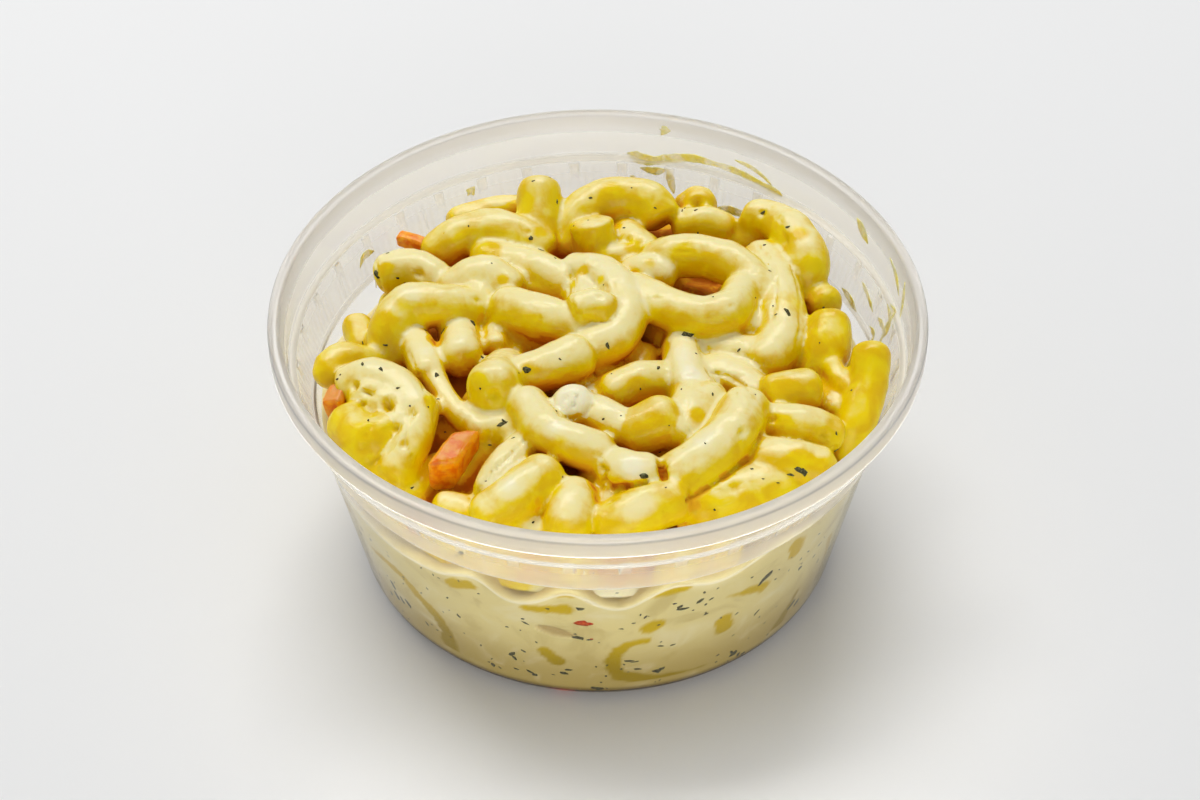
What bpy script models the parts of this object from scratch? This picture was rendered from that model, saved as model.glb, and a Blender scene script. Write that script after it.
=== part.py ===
"""Macaroni salad in a round clear tub.

Metres, +Z up. The tub stands on z = 0 with its axis at x = y = 0, and its front faces -Y.
Driving sizes are given in millimetres and turned into metres by MM where a mesh is made.
"""
import math

import bmesh
import bpy
from mathutils import Euler, Vector

MM = 0.001
MERGE = 0.00001
GAP = 0.3
SLACK = 0.1

# Tub, a standard round tub for a 117 mm lid
RIM_RADIUS = 58.5
HEIGHT = 54.4
WALL = 0.7
LIP_WIDTH = 2.4
LIP_DROP = 3.6
LIP_SLOT = 0.9
LEDGE_HEIGHT = 45.1
STEP_HEIGHT = 36.9
COLLAR_FOOT_RADIUS = 56.0
LEDGE_RADIUS = 54.9
STEP_RADIUS = 52.5
BODY_TOP_RADIUS = 51.9
FOOT_RADIUS = 43.0
FOOT_CORNER = 2.2
TUB_SIDES = 72
LUG_COUNT = 36
LUG_WIDTH = 1.8
LUG_HEIGHT = 3.6
LUG_DEPTH = 0.35
LUG_DROP = 0.4

# Inner face of the tub's wall: height and radius, from the floor up
INNER_WALL = [(WALL, 42.5), (2.9, 44.7), (STEP_HEIGHT - 0.2, 51.3), (STEP_HEIGHT, 51.8),
              (LEDGE_HEIGHT, 54.1), (LEDGE_HEIGHT + 0.6, 55.3), (HEIGHT, RIM_RADIUS - LIP_WIDTH)]

# Core of the salad, under the macaroni that shows: radius and height of its top
CORE_TOP = [(0.0, 41.0), (14.0, 41.0), (28.0, 40.0), (38.0, 38.2), (44.5, 35.6)]
CORE_EDGE_HEIGHT = 32.6
CORE_WAVE = 1.3
CORE_SIDES = 48

# A noodle's place is where it is seen on the level plane SEEN_LEVEL from EYE, in front of and
# above the tub. Each of its points is carried along that line of sight to its own height.
EYE = Vector((0.4, -335.8, 345.0))
SEEN_LEVEL = 46.0
NOODLE_SIDES_RESOLUTION = 2
NOODLE_SEGMENT = 3.4
END_ROUNDING = 0.78
END_REACH = 0.35

# Macaroni that shows: radius, then the points (x, y, height) of its centre line
NOODLES = {
    "stub_back": (4.4, [(-11.8, 27.3, 38.0), (-11.6, 33.0, 42.5), (-11.6, 38.6, 47.0)]),
    "crescent_back": (4.3, [(-28.6, 27.8, 42.0), (-20.0, 30.6, 44.0), (-11.5, 28.0, 43.0)]),
    "under_crescent": (3.6, [(-26.0, 33.0, 40.0), (-20.0, 36.0, 40.5), (-14.5, 36.5, 40.0)]),
    "behind_middle": (4.2, [(-18.0, 23.5, 42.0), (-12.0, 20.2, 43.0), (-6.5, 16.5, 42.5)]),
    "notched_arch": (4.3, [(-26.3, 13.5, 42.0), (-21.5, 17.8, 44.3), (-15.5, 14.5, 43.0)]),
    "left_arch": (4.2, [(-37.2, -5.0, 38.5), (-37.5, 2.5, 42.5), (-34.8, 8.8, 44.5),
                        (-30.0, 9.6, 45.0), (-25.5, 9.3, 43.5)]),
    "left_blob": (4.0, [(-38.3, 18.6, 41.5), (-34.5, 20.2, 43.0), (-30.3, 16.5, 42.0)]),
    "fat_oval": (4.2, [(-16.3, 8.8, 44.0), (-10.4, 6.2, 45.2), (-4.3, 2.6, 44.0)]),
    "twist_outer": (4.2, [(-4.0, 18.6, 43.5), (0.8, 17.4, 44.5), (4.1, 12.0, 44.8),
                          (4.8, 5.5, 44.8), (2.8, 0.0, 44.2), (-1.5, -2.6, 43.0)]),
    "twist_inner": (3.5, [(-3.2, 8.9, 45.0), (0.0, 10.0, 46.0), (2.8, 9.8, 45.5)]),
    "twist_link": (4.1, [(-13.0, -9.5, 43.5), (-9.0, -7.5, 44.5), (-4.0, -4.6, 44.5)]),
    "back_arch": (4.2, [(-6.2, 26.0, 40.0), (-4.2, 34.2, 43.0), (0.0, 39.4, 44.5),
                        (5.0, 41.0, 45.0), (10.0, 39.2, 44.5), (11.8, 34.8, 43.0)]),
    "back_stub": (4.4, [(-2.5, 33.0, 42.0), (-1.2, 30.5, 44.0), (-0.2, 28.0, 45.0)]),
    "under_arch": (3.6, [(5.0, 30.0, 40.5), (6.4, 27.4, 42.0), (8.2, 25.2, 42.0)]),
    "ring_upper": (4.2, [(11.0, 21.8, 43.0), (14.6, 23.6, 44.5), (20.0, 23.4, 45.2),
                         (25.4, 20.6, 45.2), (29.0, 15.0, 44.0), (30.4, 8.0, 41.5)]),
    "ring_lower": (3.9, [(7.0, 13.3, 44.0), (11.5, 9.6, 45.0), (15.8, 7.2, 45.6),
                         (20.3, 6.5, 45.8), (24.2, 8.2, 45.8), (26.3, 13.2, 45.0)]),
    "ring_link": (3.4, [(6.5, 18.5, 42.0), (9.5, 19.2, 43.5), (12.0, 17.5, 43.0)]),
    "swoosh": (4.4, [(30.5, 22.0, 42.0), (33.0, 15.0, 43.0), (33.6, 7.0, 43.0),
                     (33.0, 0.0, 42.5), (30.0, -6.0, 41.5)]),
    "slab": (4.4, [(19.5, -2.8, 39.5), (25.8, -4.6, 40.5), (31.5, -5.0, 41.0)]),
    "back_eye": (3.5, [(18.5, 41.5, 40.5), (19.3, 38.3, 42.5)]),
    "back_eye_front": (3.6, [(16.6, 32.3, 41.5), (20.0, 33.4, 42.5), (23.4, 31.4, 41.5)]),
    "right_lump": (3.3, [(25.0, 28.2, 39.5), (29.0, 27.8, 39.5)]),
    "right_crescent": (4.1, [(31.6, 35.6, 43.5), (35.6, 31.8, 45.0), (38.2, 26.6, 45.0),
                             (39.0, 21.0, 44.0), (38.3, 15.5, 41.0)]),
    "right_low_blob": (3.4, [(38.5, 13.0, 39.0), (41.3, 10.0, 40.0)]),
    "right_stub": (4.3, [(41.8, 3.5, 43.5), (41.2, -2.0, 42.0), (38.8, -8.5, 38.5)]),
    "right_upright": (3.5, [(48.2, -4.2, 45.0), (46.7, -15.0, 41.0), (44.8, -23.5, 38.0),
                            (42.8, -28.5, 34.5)]),
    "right_oval": (3.6, [(31.0, -14.0, 42.0), (34.5, -12.8, 43.2), (38.0, -14.0, 42.0)]),
    "right_tube": (3.8, [(30.8, -21.5, 42.5), (35.3, -22.2, 43.2), (39.8, -24.4, 41.0)]),
    "right_front_oval": (4.0, [(28.0, -31.0, 40.5), (33.5, -31.2, 42.0), (37.5, -33.2, 41.0)]),
    "big_diagonal": (4.1, [(13.8, -35.0, 42.5), (18.6, -30.5, 44.0), (23.2, -24.5, 45.0),
                           (25.7, -18.6, 44.5)]),
    "behind_diagonal": (3.9, [(13.0, -25.0, 42.0), (16.5, -20.0, 43.2), (19.5, -16.5, 42.5)]),
    "groove_stub": (4.3, [(13.5, -16.0, 42.0), (11.5, -20.3, 44.0), (9.3, -24.6, 44.5)]),
    "knob": (4.1, [(-4.0, -14.4, 45.4), (-1.0, -18.0, 44.0), (3.0, -22.0, 43.0),
                   (6.5, -26.0, 42.0)]),
    "centre_crescent": (3.9, [(-12.4, -17.5, 43.5), (-9.0, -23.4, 44.5), (-4.5, -26.8, 44.6),
                              (-0.2, -29.0, 43.5)]),
    "flat_elbow": (3.9, [(3.5, -14.2, 40.5), (7.0, -11.8, 41.5), (11.0, -11.5, 40.5)]),
    "cone": (3.7, [(15.0, 1.0, 38.5), (15.5, -6.0, 41.0), (16.4, -13.0, 42.3)]),
    "sauced_elbow": (4.2, [(20.0, -10.0, 39.5), (24.4, -11.5, 40.3), (28.2, -15.5, 40.5)]),
    "dimpled_stub": (4.4, [(-17.3, -6.0, 41.5), (-18.2, -10.0, 43.8), (-18.8, -14.2, 43.0)]),
    "drop": (3.8, [(-25.0, 3.0, 39.0), (-25.5, -1.5, 41.8), (-25.8, -4.5, 42.0)]),
    "sliver": (2.6, [(-18.7, 3.5, 40.5), (-18.3, -1.8, 41.5)]),
    "long_diagonal": (4.0, [(-34.3, 0.8, 41.0), (-32.0, -6.5, 42.0), (-28.2, -12.5, 42.0),
                            (-25.2, -18.0, 41.0)]),
    "pitted_upper": (3.9, [(-44.0, -12.3, 41.5), (-39.7, -10.2, 43.8), (-35.0, -13.0, 44.2),
                           (-32.0, -18.5, 43.5)]),
    "pitted_lower": (3.7, [(-31.4, -18.0, 43.2), (-31.8, -25.0, 42.5), (-34.2, -33.0, 39.5)]),
    "pitted_inner": (4.4, [(-42.6, -22.5, 40.5), (-40.0, -26.0, 41.5), (-36.3, -24.5, 41.5)]),
    "pitted_fill": (4.2, [(-38.5, -16.5, 41.0), (-34.5, -21.0, 41.0)]),
    "left_low": (3.4, [(-48.0, -8.5, 41.0), (-45.3, -5.6, 41.3), (-42.0, -6.2, 40.5),
                       (-39.5, -7.0, 38.5)]),
    "front_pale": (3.5, [(-12.8, -28.4, 40.5), (-15.6, -32.6, 41.5), (-17.6, -38.0, 40.0)]),
    "front_fat": (4.3, [(-9.3, -35.0, 42.5), (-13.3, -39.2, 42.5), (-18.0, -44.0, 40.5)]),
    "front_stub": (4.4, [(-3.5, -38.0, 39.5), (-4.0, -42.0, 41.5), (-5.0, -46.0, 40.5)]),
    "front_low": (3.6, [(-14.0, -47.0, 37.0), (-6.0, -49.0, 37.5)]),
    "cream_stub": (3.7, [(3.0, -33.0, 42.5), (5.5, -33.8, 43.8), (8.0, -34.0, 43.8)]),
    "bright_front": (4.3, [(12.6, -40.6, 41.5), (8.0, -42.6, 41.5), (2.5, -46.5, 39.5)]),
    "front_gap": (3.4, [(1.5, -39.0, 38.5), (3.0, -43.0, 39.0)]),
    "right_front_low": (4.3, [(17.5, -42.0, 38.5), (24.0, -39.0, 39.5), (31.0, -36.5, 39.0)]),
    "left_front_low": (3.8, [(-39.0, -31.0, 38.0), (-33.5, -36.5, 37.0)]),
    "front_left_low": (3.6, [(-27.5, -42.0, 37.0), (-21.5, -44.0, 36.5)]),
    "behind_upright": (2.6, [(41.8, -6.0, 38.0), (44.0, -12.5, 38.5)]),
    "right_gap": (3.0, [(40.5, -14.0, 38.5), (41.5, -18.5, 39.0)]),
    "left_behind_leg": (3.0, [(-43.5, 3.5, 38.0), (-41.5, -2.5, 38.0)]),
    "under_strip": (3.6, [(-37.0, 20.5, 36.0), (-29.0, 24.5, 36.0)]),
    "centre_low": (3.6, [(-20.5, -21.5, 39.5), (-15.5, -24.0, 40.0), (-12.0, -27.5, 38.5)]),
}

# Diced carrot: how far its edges are rounded, then size, middle (x, y, height), turn about x, y
# and z in degrees, the share of its width that is left at the back, and how far the back is
# shifted to the right
CARROT_ROUND = 0.9
CARROTS = {
    "carrot_cube_front": ((8.6, 7.4, 8.8), (-25.3, -24.9, 40.0), (8.0, 0.0, 8.5), 0.30, 2.2),
    "carrot_piece_left": ((4.0, 5.0, 8.4), (-46.2, -10.6, 39.2), (4.0, -10.0, -14.0), 0.90, 0.0),
    "carrot_strip_back": ((7.6, 3.0, 3.0), (-34.8, 32.6, 41.9), (0.0, 4.0, -22.0), 1.0, 0.0),
}


def clear_scene():
    """Empty the scene, and drop what its objects leave behind."""
    for thing in list(bpy.data.objects):
        bpy.data.objects.remove(thing, do_unlink=True)
    for group in list(bpy.data.collections):
        bpy.data.collections.remove(group)


def add_collection(name):
    """A new collection in the scene."""
    group = bpy.data.collections.new(name)
    bpy.context.scene.collection.children.link(group)
    return group


def add_object(name, data, group):
    """A new object in a collection."""
    thing = bpy.data.objects.new(name, data)
    group.objects.link(thing)
    return thing


def make_material(name, colour, roughness, transmission=0.0):
    """A Principled material with one colour."""
    material = bpy.data.materials.new(name)
    material.use_nodes = True
    shader = material.node_tree.nodes["Principled BSDF"]
    shader.inputs["Base Color"].default_value = (*colour, 1.0)
    shader.inputs["Roughness"].default_value = roughness
    shader.inputs["Metallic"].default_value = 0.0
    shader.inputs["Transmission Weight"].default_value = transmission
    material.diffuse_color = (*colour, 1.0)
    return material


def shade(mesh, angle_degrees):
    """Smooth shading with sharp edges past an angle."""
    mesh.shade_smooth()
    mesh.set_sharp_from_angle(angle=math.radians(angle_degrees))


def apply_modifiers(thing):
    """Turn an object's evaluated shape into its own mesh and drop its modifiers."""
    graph = bpy.context.evaluated_depsgraph_get()
    shaped = bpy.data.meshes.new_from_object(thing.evaluated_get(graph))
    thing.modifiers.clear()
    thing.data = shaped
    return shaped


def at_height(table, height):
    """Radius at a height, from rows of (height, radius)."""
    for (low, first), (high, last) in zip(table, table[1:]):
        if height <= high:
            share = max(0.0, (height - low) / (high - low))
            return first + (last - first) * share
    return table[-1][1]


def turned(name, profile, sides, group):
    """A turned solid from a profile of (radius, height) that runs from the axis to the axis."""
    mesh = bpy.data.meshes.new(name)
    form = bmesh.new()
    points = [form.verts.new((radius * MM, 0.0, height * MM)) for radius, height in profile]
    for start, end in zip(points, points[1:]):
        form.edges.new((start, end))
    form.to_mesh(mesh)
    form.free()
    thing = add_object(name, mesh, group)
    screw = thing.modifiers.new("turn", "SCREW")
    screw.steps = sides
    screw.render_steps = sides
    screw.use_merge_vertices = True
    screw.merge_threshold = MERGE
    return thing


def tub_profile():
    """The tub's section, down its outer side, across the base and up the inner wall."""
    lip_bottom = HEIGHT - LIP_DROP
    collar = RIM_RADIUS - LIP_WIDTH + WALL
    slot_roof = HEIGHT - WALL
    corner = [(FOOT_RADIUS + FOOT_CORNER * math.sin(turn), FOOT_CORNER * (1.0 - math.cos(turn)))
              for turn in (math.radians(80.0), math.radians(50.0), math.radians(20.0), 0.0)]
    outside = [(RIM_RADIUS - LIP_WIDTH + 0.4, HEIGHT), (RIM_RADIUS - 0.5, HEIGHT),
               (RIM_RADIUS, HEIGHT - 0.5), (RIM_RADIUS, lip_bottom),
               (RIM_RADIUS - WALL, lip_bottom), (collar + LIP_SLOT, slot_roof - 0.2),
               (collar, slot_roof - 0.2), (COLLAR_FOOT_RADIUS, LEDGE_HEIGHT + 0.7),
               (LEDGE_RADIUS, LEDGE_HEIGHT), (STEP_RADIUS, STEP_HEIGHT),
               (BODY_TOP_RADIUS, STEP_HEIGHT - 0.3)]
    inside = [(0.0, WALL)] + [(radius, height) for height, radius in INNER_WALL[:-1]]
    inside += [(RIM_RADIUS - LIP_WIDTH, HEIGHT - 0.4), (RIM_RADIUS - LIP_WIDTH + 0.4, HEIGHT)]
    return outside + corner + [(0.0, 0.0)], inside


def make_tub(group, cutters):
    """The thin-walled tub, with its rolled lip, ledge and stacking lugs."""
    outside, inside = tub_profile()
    mesh = bpy.data.meshes.new("tub")
    form = bmesh.new()
    outer = [form.verts.new((radius * MM, 0.0, height * MM)) for radius, height in outside]
    inner = [form.verts.new((radius * MM, 0.0, height * MM)) for radius, height in inside[:-1]]
    inner.append(outer[0])
    for run in (outer, inner):
        for start, end in zip(run, run[1:]):
            form.edges.new((start, end))
    form.to_mesh(mesh)
    form.free()
    tub = add_object("tub", mesh, group)
    screw = tub.modifiers.new("turn", "SCREW")
    screw.steps = TUB_SIDES
    screw.render_steps = TUB_SIDES
    screw.use_merge_vertices = True
    screw.merge_threshold = MERGE
    apply_modifiers(tub)
    for number in range(LUG_COUNT):
        make_lug(number, cutters)
    join_collection(tub, cutters)
    shade(tub.data, 30.0)
    tub.data.materials.append(make_material("clear_plastic", (0.90, 0.89, 0.87), 0.15, 0.9))
    return tub


def make_lug(number, group):
    """One small stacking lug on the inner wall, under the ledge."""
    middle = LEDGE_HEIGHT - LUG_DROP - LUG_HEIGHT / 2
    radius = at_height(INNER_WALL, middle)
    flare = at_height(INNER_WALL, LEDGE_HEIGHT) - at_height(INNER_WALL, STEP_HEIGHT)
    slope = math.atan2(flare, LEDGE_HEIGHT - STEP_HEIGHT)
    turn = math.radians((number + 0.5) * 360.0 / LUG_COUNT)
    depth = LUG_DEPTH + WALL / 2
    mesh = bpy.data.meshes.new("lug")
    form = bmesh.new()
    bmesh.ops.create_cube(form, size=1.0)
    bmesh.ops.scale(form, verts=form.verts, vec=(depth * MM, LUG_WIDTH * MM, LUG_HEIGHT * MM))
    form.to_mesh(mesh)
    form.free()
    lug = add_object(f"lug_{number:02d}", mesh, group)
    reach = (radius - LUG_DEPTH / 2 + WALL / 4) * MM
    lug.location = (reach * math.cos(turn), reach * math.sin(turn), middle * MM)
    lug.rotation_euler = (0.0, slope, turn)
    return lug


def join_collection(thing, group):
    """Fuse every object of a collection onto one object, and remove them."""
    fuse = thing.modifiers.new("fuse", "BOOLEAN")
    fuse.operation = "UNION"
    fuse.operand_type = "COLLECTION"
    fuse.collection = group
    fuse.solver = "EXACT"
    bpy.context.view_layer.update()
    apply_modifiers(thing)
    for piece in list(group.objects):
        bpy.data.objects.remove(piece, do_unlink=True)


def keep_outer_skin(mesh):
    """Fill the hollows that fusing sealed, and drop loose scraps: only the largest skin stays."""
    form = bmesh.new()
    form.from_mesh(mesh)
    skins = []
    unseen = set(form.verts)
    while unseen:
        skin = {unseen.pop()}
        front = list(skin)
        while front:
            point = front.pop()
            near = {edge.other_vert(point) for edge in point.link_edges} & unseen
            unseen -= near
            skin |= near
            front.extend(near)
        skins.append(skin)
    skins.sort(key=len)
    for skin in skins[:-1]:
        bmesh.ops.delete(form, geom=list(skin), context="VERTS")
    form.to_mesh(mesh)
    form.free()


def make_core(group):
    """The salad under the macaroni that shows: it fills the tub up to a wavy edge at the wall."""
    clear = GAP + SLACK
    edge_foot = CORE_EDGE_HEIGHT - CORE_WAVE - 0.8
    wall = [(at_height(INNER_WALL, height) - clear, height) for height in (edge_foot, 17.0, 3.2)]
    profile = [*CORE_TOP, (wall[0][0] - 1.0, CORE_EDGE_HEIGHT + 0.8), *wall,
               (42.5 - clear, WALL + clear), (0.0, WALL + clear)]
    core = turned("macaroni_salad", profile, CORE_SIDES, group)
    mesh = apply_modifiers(core)
    for point in mesh.vertices:
        radius = math.hypot(point.co.x, point.co.y) / MM
        if point.co.z / MM > CORE_EDGE_HEIGHT - 0.5 and radius > 5.0:
            turn = math.atan2(point.co.y, point.co.x)
            wave = math.sin(7.0 * turn + 0.6) + 0.6 * math.sin(12.0 * turn + radius / 7.0)
            point.co.z += CORE_WAVE * wave * MM / 1.6
    return core


def carried(point):
    """A seen place (x, y) on the level plane, carried along its line of sight to a height."""
    seen_x, seen_y, height = point
    share = (EYE.z - height) / (EYE.z - SEEN_LEVEL)
    return Vector((EYE.x + (seen_x - EYE.x) * share, EYE.y + (seen_y - EYE.y) * share, height))


def kept_inside(point, radius):
    """A point of a noodle, pulled towards the axis where the noodle would cross the wall."""
    reach = math.hypot(point.x, point.y)
    free = min(at_height(INNER_WALL, point.z + radius * math.sin(lean)) - radius * math.cos(lean)
               for lean in (math.radians(15.0 * step) for step in range(-5, 6)))
    free -= GAP + SLACK + LUG_DEPTH
    if reach > free:
        return Vector((point.x * free / reach, point.y * free / reach, point.z))
    return point


def smooth_route(points, spacing):
    """Points along a Catmull-Rom curve through the given ones, at about even spacing."""
    ends = [points[0] * 2 - points[1], *points, points[-1] * 2 - points[-2]]
    route = []
    for before, start, end, after in zip(ends, ends[1:], ends[2:], ends[3:]):
        count = max(2, round((end - start).length / spacing))
        for step in range(count):
            t = step / count
            route.append(0.5 * (2 * start + (end - before) * t
                                + (2 * before - 5 * start + 4 * end - after) * t * t
                                + (3 * start - before - 3 * end + after) * t * t * t))
    return [*route, points[-1]]


def carrot_distance(point):
    """How far a point is from the nearest dice of carrot."""
    nearest = math.inf
    for (width, depth, height), middle, turns, back_share, shift in CARROTS.values():
        turn = Euler([math.radians(angle) for angle in turns]).to_matrix()
        local = turn.transposed() @ (point - Vector(middle))
        along = min(1.0, max(0.0, local.y / depth + 0.5))
        right = width / 2 + shift * along
        left = right - width * (1.0 + (back_share - 1.0) * along)
        outside = (max(0.0, local.x - right, left - local.x),
                   max(0.0, abs(local.y) - depth / 2), max(0.0, abs(local.z) - height / 2))
        nearest = min(nearest, Vector(outside).length)
    return nearest


def clear_of_carrots(route, radius):
    """The longest stretch of a noodle that clears the diced carrot."""
    stretches = [[]]
    for point in route:
        if carrot_distance(point) > radius + GAP:
            stretches[-1].append(point)
        else:
            stretches.append([])
    return max(stretches, key=len)


def make_noodle(name, radius, points, group):
    """One elbow of macaroni: a tube along its centre line, with ends that round off."""
    route = smooth_route([carried(point) for point in points], NOODLE_SEGMENT)
    first = route[0] + (route[0] - route[1]).normalized() * radius * END_REACH
    last = route[-1] + (route[-1] - route[-2]).normalized() * radius * END_REACH
    route = [kept_inside(point, radius) for point in (first, *route, last)]
    route = clear_of_carrots(route, radius)
    if len(route) < 3:
        return None
    curve = bpy.data.curves.new(name, "CURVE")
    curve.dimensions = "3D"
    curve.bevel_depth = radius * MM
    curve.bevel_resolution = NOODLE_SIDES_RESOLUTION
    curve.use_fill_caps = True
    spline = curve.splines.new("POLY")
    spline.points.add(len(route) - 1)
    for number, (knot, place) in enumerate(zip(spline.points, route)):
        knot.co = (*(place * MM), 1.0)
        knot.radius = END_ROUNDING if number in (0, len(route) - 1) else 1.0
    guide = add_object(name + "_line", curve, group)
    graph = bpy.context.evaluated_depsgraph_get()
    mesh = bpy.data.meshes.new_from_object(guide.evaluated_get(graph))
    bpy.data.objects.remove(guide, do_unlink=True)
    form = bmesh.new()
    form.from_mesh(mesh)
    bmesh.ops.remove_doubles(form, verts=form.verts, dist=MERGE)
    bmesh.ops.recalc_face_normals(form, faces=form.faces)
    form.to_mesh(mesh)
    form.free()
    return add_object(name, mesh, group)


def carrot_mesh(size, back_share, shift, grow):
    """A dice of carrot with its corners taken off, grown by a margin on every side."""
    form = bmesh.new()
    bmesh.ops.create_cube(form, size=1.0)
    scale = [(side + 2 * grow) * MM for side in size]
    bmesh.ops.scale(form, verts=form.verts, vec=scale)
    for corner in form.verts:
        if corner.co.y > 0.0:
            right = scale[0] / 2
            corner.co.x = right - (right - corner.co.x) * back_share + shift * MM
    bmesh.ops.bevel(form, geom=form.edges, offset=CARROT_ROUND * MM, offset_type="OFFSET", segments=2,
                    profile=0.5, affect="EDGES", material=-1)
    mesh = bpy.data.meshes.new("carrot")
    form.to_mesh(mesh)
    form.free()
    return mesh


def place_carrot(name, mesh, middle, turns, group):
    """A carrot dice at its place in the salad."""
    dice = add_object(name, mesh, group)
    dice.location = Vector(middle) * MM
    dice.rotation_euler = [math.radians(turn) for turn in turns]
    return dice


def make_carrots(core, group, cutters):
    """The diced carrot, each sunk in a pocket of the core that clears it by the gap."""
    for name, (size, middle, turns, back_share, shift) in CARROTS.items():
        hollow = carrot_mesh(size, back_share, shift, GAP + SLACK)
        pocket = place_carrot(name + "_pocket", hollow, middle, turns, cutters)
        pocket.hide_render = True
        pocket.display_type = "WIRE"
        cut = core.modifiers.new(name, "BOOLEAN")
        cut.operation = "DIFFERENCE"
        cut.object = pocket
        cut.solver = "EXACT"
        bpy.context.view_layer.update()
        apply_modifiers(core)
        bpy.data.objects.remove(pocket, do_unlink=True)
        solid = carrot_mesh(size, back_share, shift, 0.0)
        dice = place_carrot(name, solid, middle, turns, group)
        shade(dice.data, 50.0)
        dice.data.materials.append(make_material(name, (0.85, 0.30, 0.06), 0.35))


def main():
    """Build the tub, the salad and its carrot."""
    clear_scene()
    model = add_collection("pasta_salad")
    cutters = add_collection("cutters")
    noodles = add_collection("noodles")
    make_tub(model, cutters)
    core = make_core(model)
    make_carrots(core, model, cutters)
    for name, (radius, points) in NOODLES.items():
        make_noodle(name, radius, points, noodles)
    join_collection(core, noodles)
    keep_outer_skin(core.data)
    shade(core.data, 60.0)
    core.data.materials.clear()
    core.data.materials.append(make_material("dressed_macaroni", (0.88, 0.74, 0.30), 0.35))
    bpy.data.collections.remove(noodles)
    bpy.data.collections.remove(cutters)


main()
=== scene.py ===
"""Looks of a macaroni salad with diced carrot and herbs in a clear round tub.

Metres, +Z up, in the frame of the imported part: the tub stands on z = 0, its axis is x = y = 0,
and the camera looks from -Y. Driving sizes are in millimetres and turned into metres by MM.
"""
import logging
import math
import random
from dataclasses import dataclass, field
from enum import Enum

import bmesh
import bpy
import numpy as np
from mathutils import Euler, Matrix, Vector, noise
from mathutils.bvhtree import BVHTree


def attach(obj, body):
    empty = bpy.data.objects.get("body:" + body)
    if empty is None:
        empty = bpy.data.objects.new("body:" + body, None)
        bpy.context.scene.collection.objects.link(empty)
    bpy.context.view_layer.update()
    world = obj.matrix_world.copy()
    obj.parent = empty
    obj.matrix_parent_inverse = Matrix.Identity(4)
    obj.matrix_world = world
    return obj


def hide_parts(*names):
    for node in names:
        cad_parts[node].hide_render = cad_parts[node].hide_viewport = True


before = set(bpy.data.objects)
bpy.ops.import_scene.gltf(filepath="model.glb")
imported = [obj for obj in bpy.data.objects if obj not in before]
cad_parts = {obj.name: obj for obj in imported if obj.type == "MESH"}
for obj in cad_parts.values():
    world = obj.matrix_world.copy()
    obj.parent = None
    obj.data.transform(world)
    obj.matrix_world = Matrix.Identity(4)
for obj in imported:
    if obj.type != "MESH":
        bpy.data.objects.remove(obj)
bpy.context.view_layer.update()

logging.basicConfig(level=logging.INFO, format="%(message)s")
LOG = logging.getLogger("pasta_salad")

MM = 0.001
BODY = "root"

# The camera's place, tilt and lens, and the picture it was fitted to
EYE = Vector((0.38, -335.84, 345.05))
TILT_DEGREES = 43.052
LENS = 75.0
SENSOR = 36.0
PICTURE = (1200, 800)
FOCUS = PICTURE[0] * LENS / SENSOR

# Places in the heap are given where they are seen on this level plane
SEEN_LEVEL = 46.0

# Tub
RIM_RADIUS = 58.5
HEIGHT = 54.4
WALL = 0.7
LIP_WIDTH = 2.4
LIP_BOTTOM = 50.8
LEDGE_HEIGHT = 45.1
STEP_HEIGHT = 36.9
INNER_WALL = [(WALL, 42.5), (1.3, 43.4), (2.9, 44.7), (STEP_HEIGHT - 0.2, 51.3),
              (STEP_HEIGHT, 51.8), (LEDGE_HEIGHT, 54.1), (LEDGE_HEIGHT + 0.6, 55.3),
              (HEIGHT, RIM_RADIUS - LIP_WIDTH)]

# Where along a line of sight the wall is looked for: from, to and step, in mm
SEARCH = (330.0, 560.0, 0.1)
LOWEST_MARK = 1.3

# Turning by this angle, in radians, from each thing to the next spreads them evenly
EVEN_TURN = 2.39996


def at_height(height: float) -> float:
    """Give the tub's inner radius at a height.

    Args:
        height: Height above the ground, in mm.

    Returns:
        The radius of the inner wall there, in mm.
    """
    for (low, first), (high, last) in zip(INNER_WALL, INNER_WALL[1:]):
        if height <= high:
            share = max(0.0, (height - low) / (high - low))
            return first + (last - first) * share
    return INNER_WALL[-1][1]


def wall_radii(heights: np.ndarray) -> np.ndarray:
    """Give the tub's inner radius at many heights, all in mm."""
    rows = np.array(INNER_WALL)
    return np.interp(heights, rows[:, 0], rows[:, 1])


def carried(point: tuple) -> Vector:
    """Carry a place seen on the level plane along its line of sight to its own height.

    Args:
        point: (x, y, height) in mm, x and y as seen on the level plane.

    Returns:
        The place itself, in mm.
    """
    share = (EYE.z - point[2]) / (EYE.z - SEEN_LEVEL)
    return Vector((EYE.x + (point[0] - EYE.x) * share, EYE.y + (point[1] - EYE.y) * share,
                   point[2]))


def seen_on_level(place: Vector) -> tuple[float, float, float]:
    """Give where a place is seen on the level plane, with its height, which undoes carried."""
    share = (EYE.z - SEEN_LEVEL) / (EYE.z - place.z)
    return (EYE.x + (place.x - EYE.x) * share, EYE.y + (place.y - EYE.y) * share, place.z)


def sight(u: float, v: float) -> Vector:
    """Give the direction of the line of sight through a point of the picture.

    Args:
        u: Across, from the left edge, in the picture's pixels.
        v: Down, from the top edge, in the picture's pixels.

    Returns:
        The direction, of length one.
    """
    across, down = (u - PICTURE[0] / 2) / FOCUS, (v - PICTURE[1] / 2) / FOCUS
    turn = Matrix.Rotation(math.radians(90.0 - TILT_DEGREES), 3, "X")
    return (turn @ Vector((across, -down, -1.0))).normalized()


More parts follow.
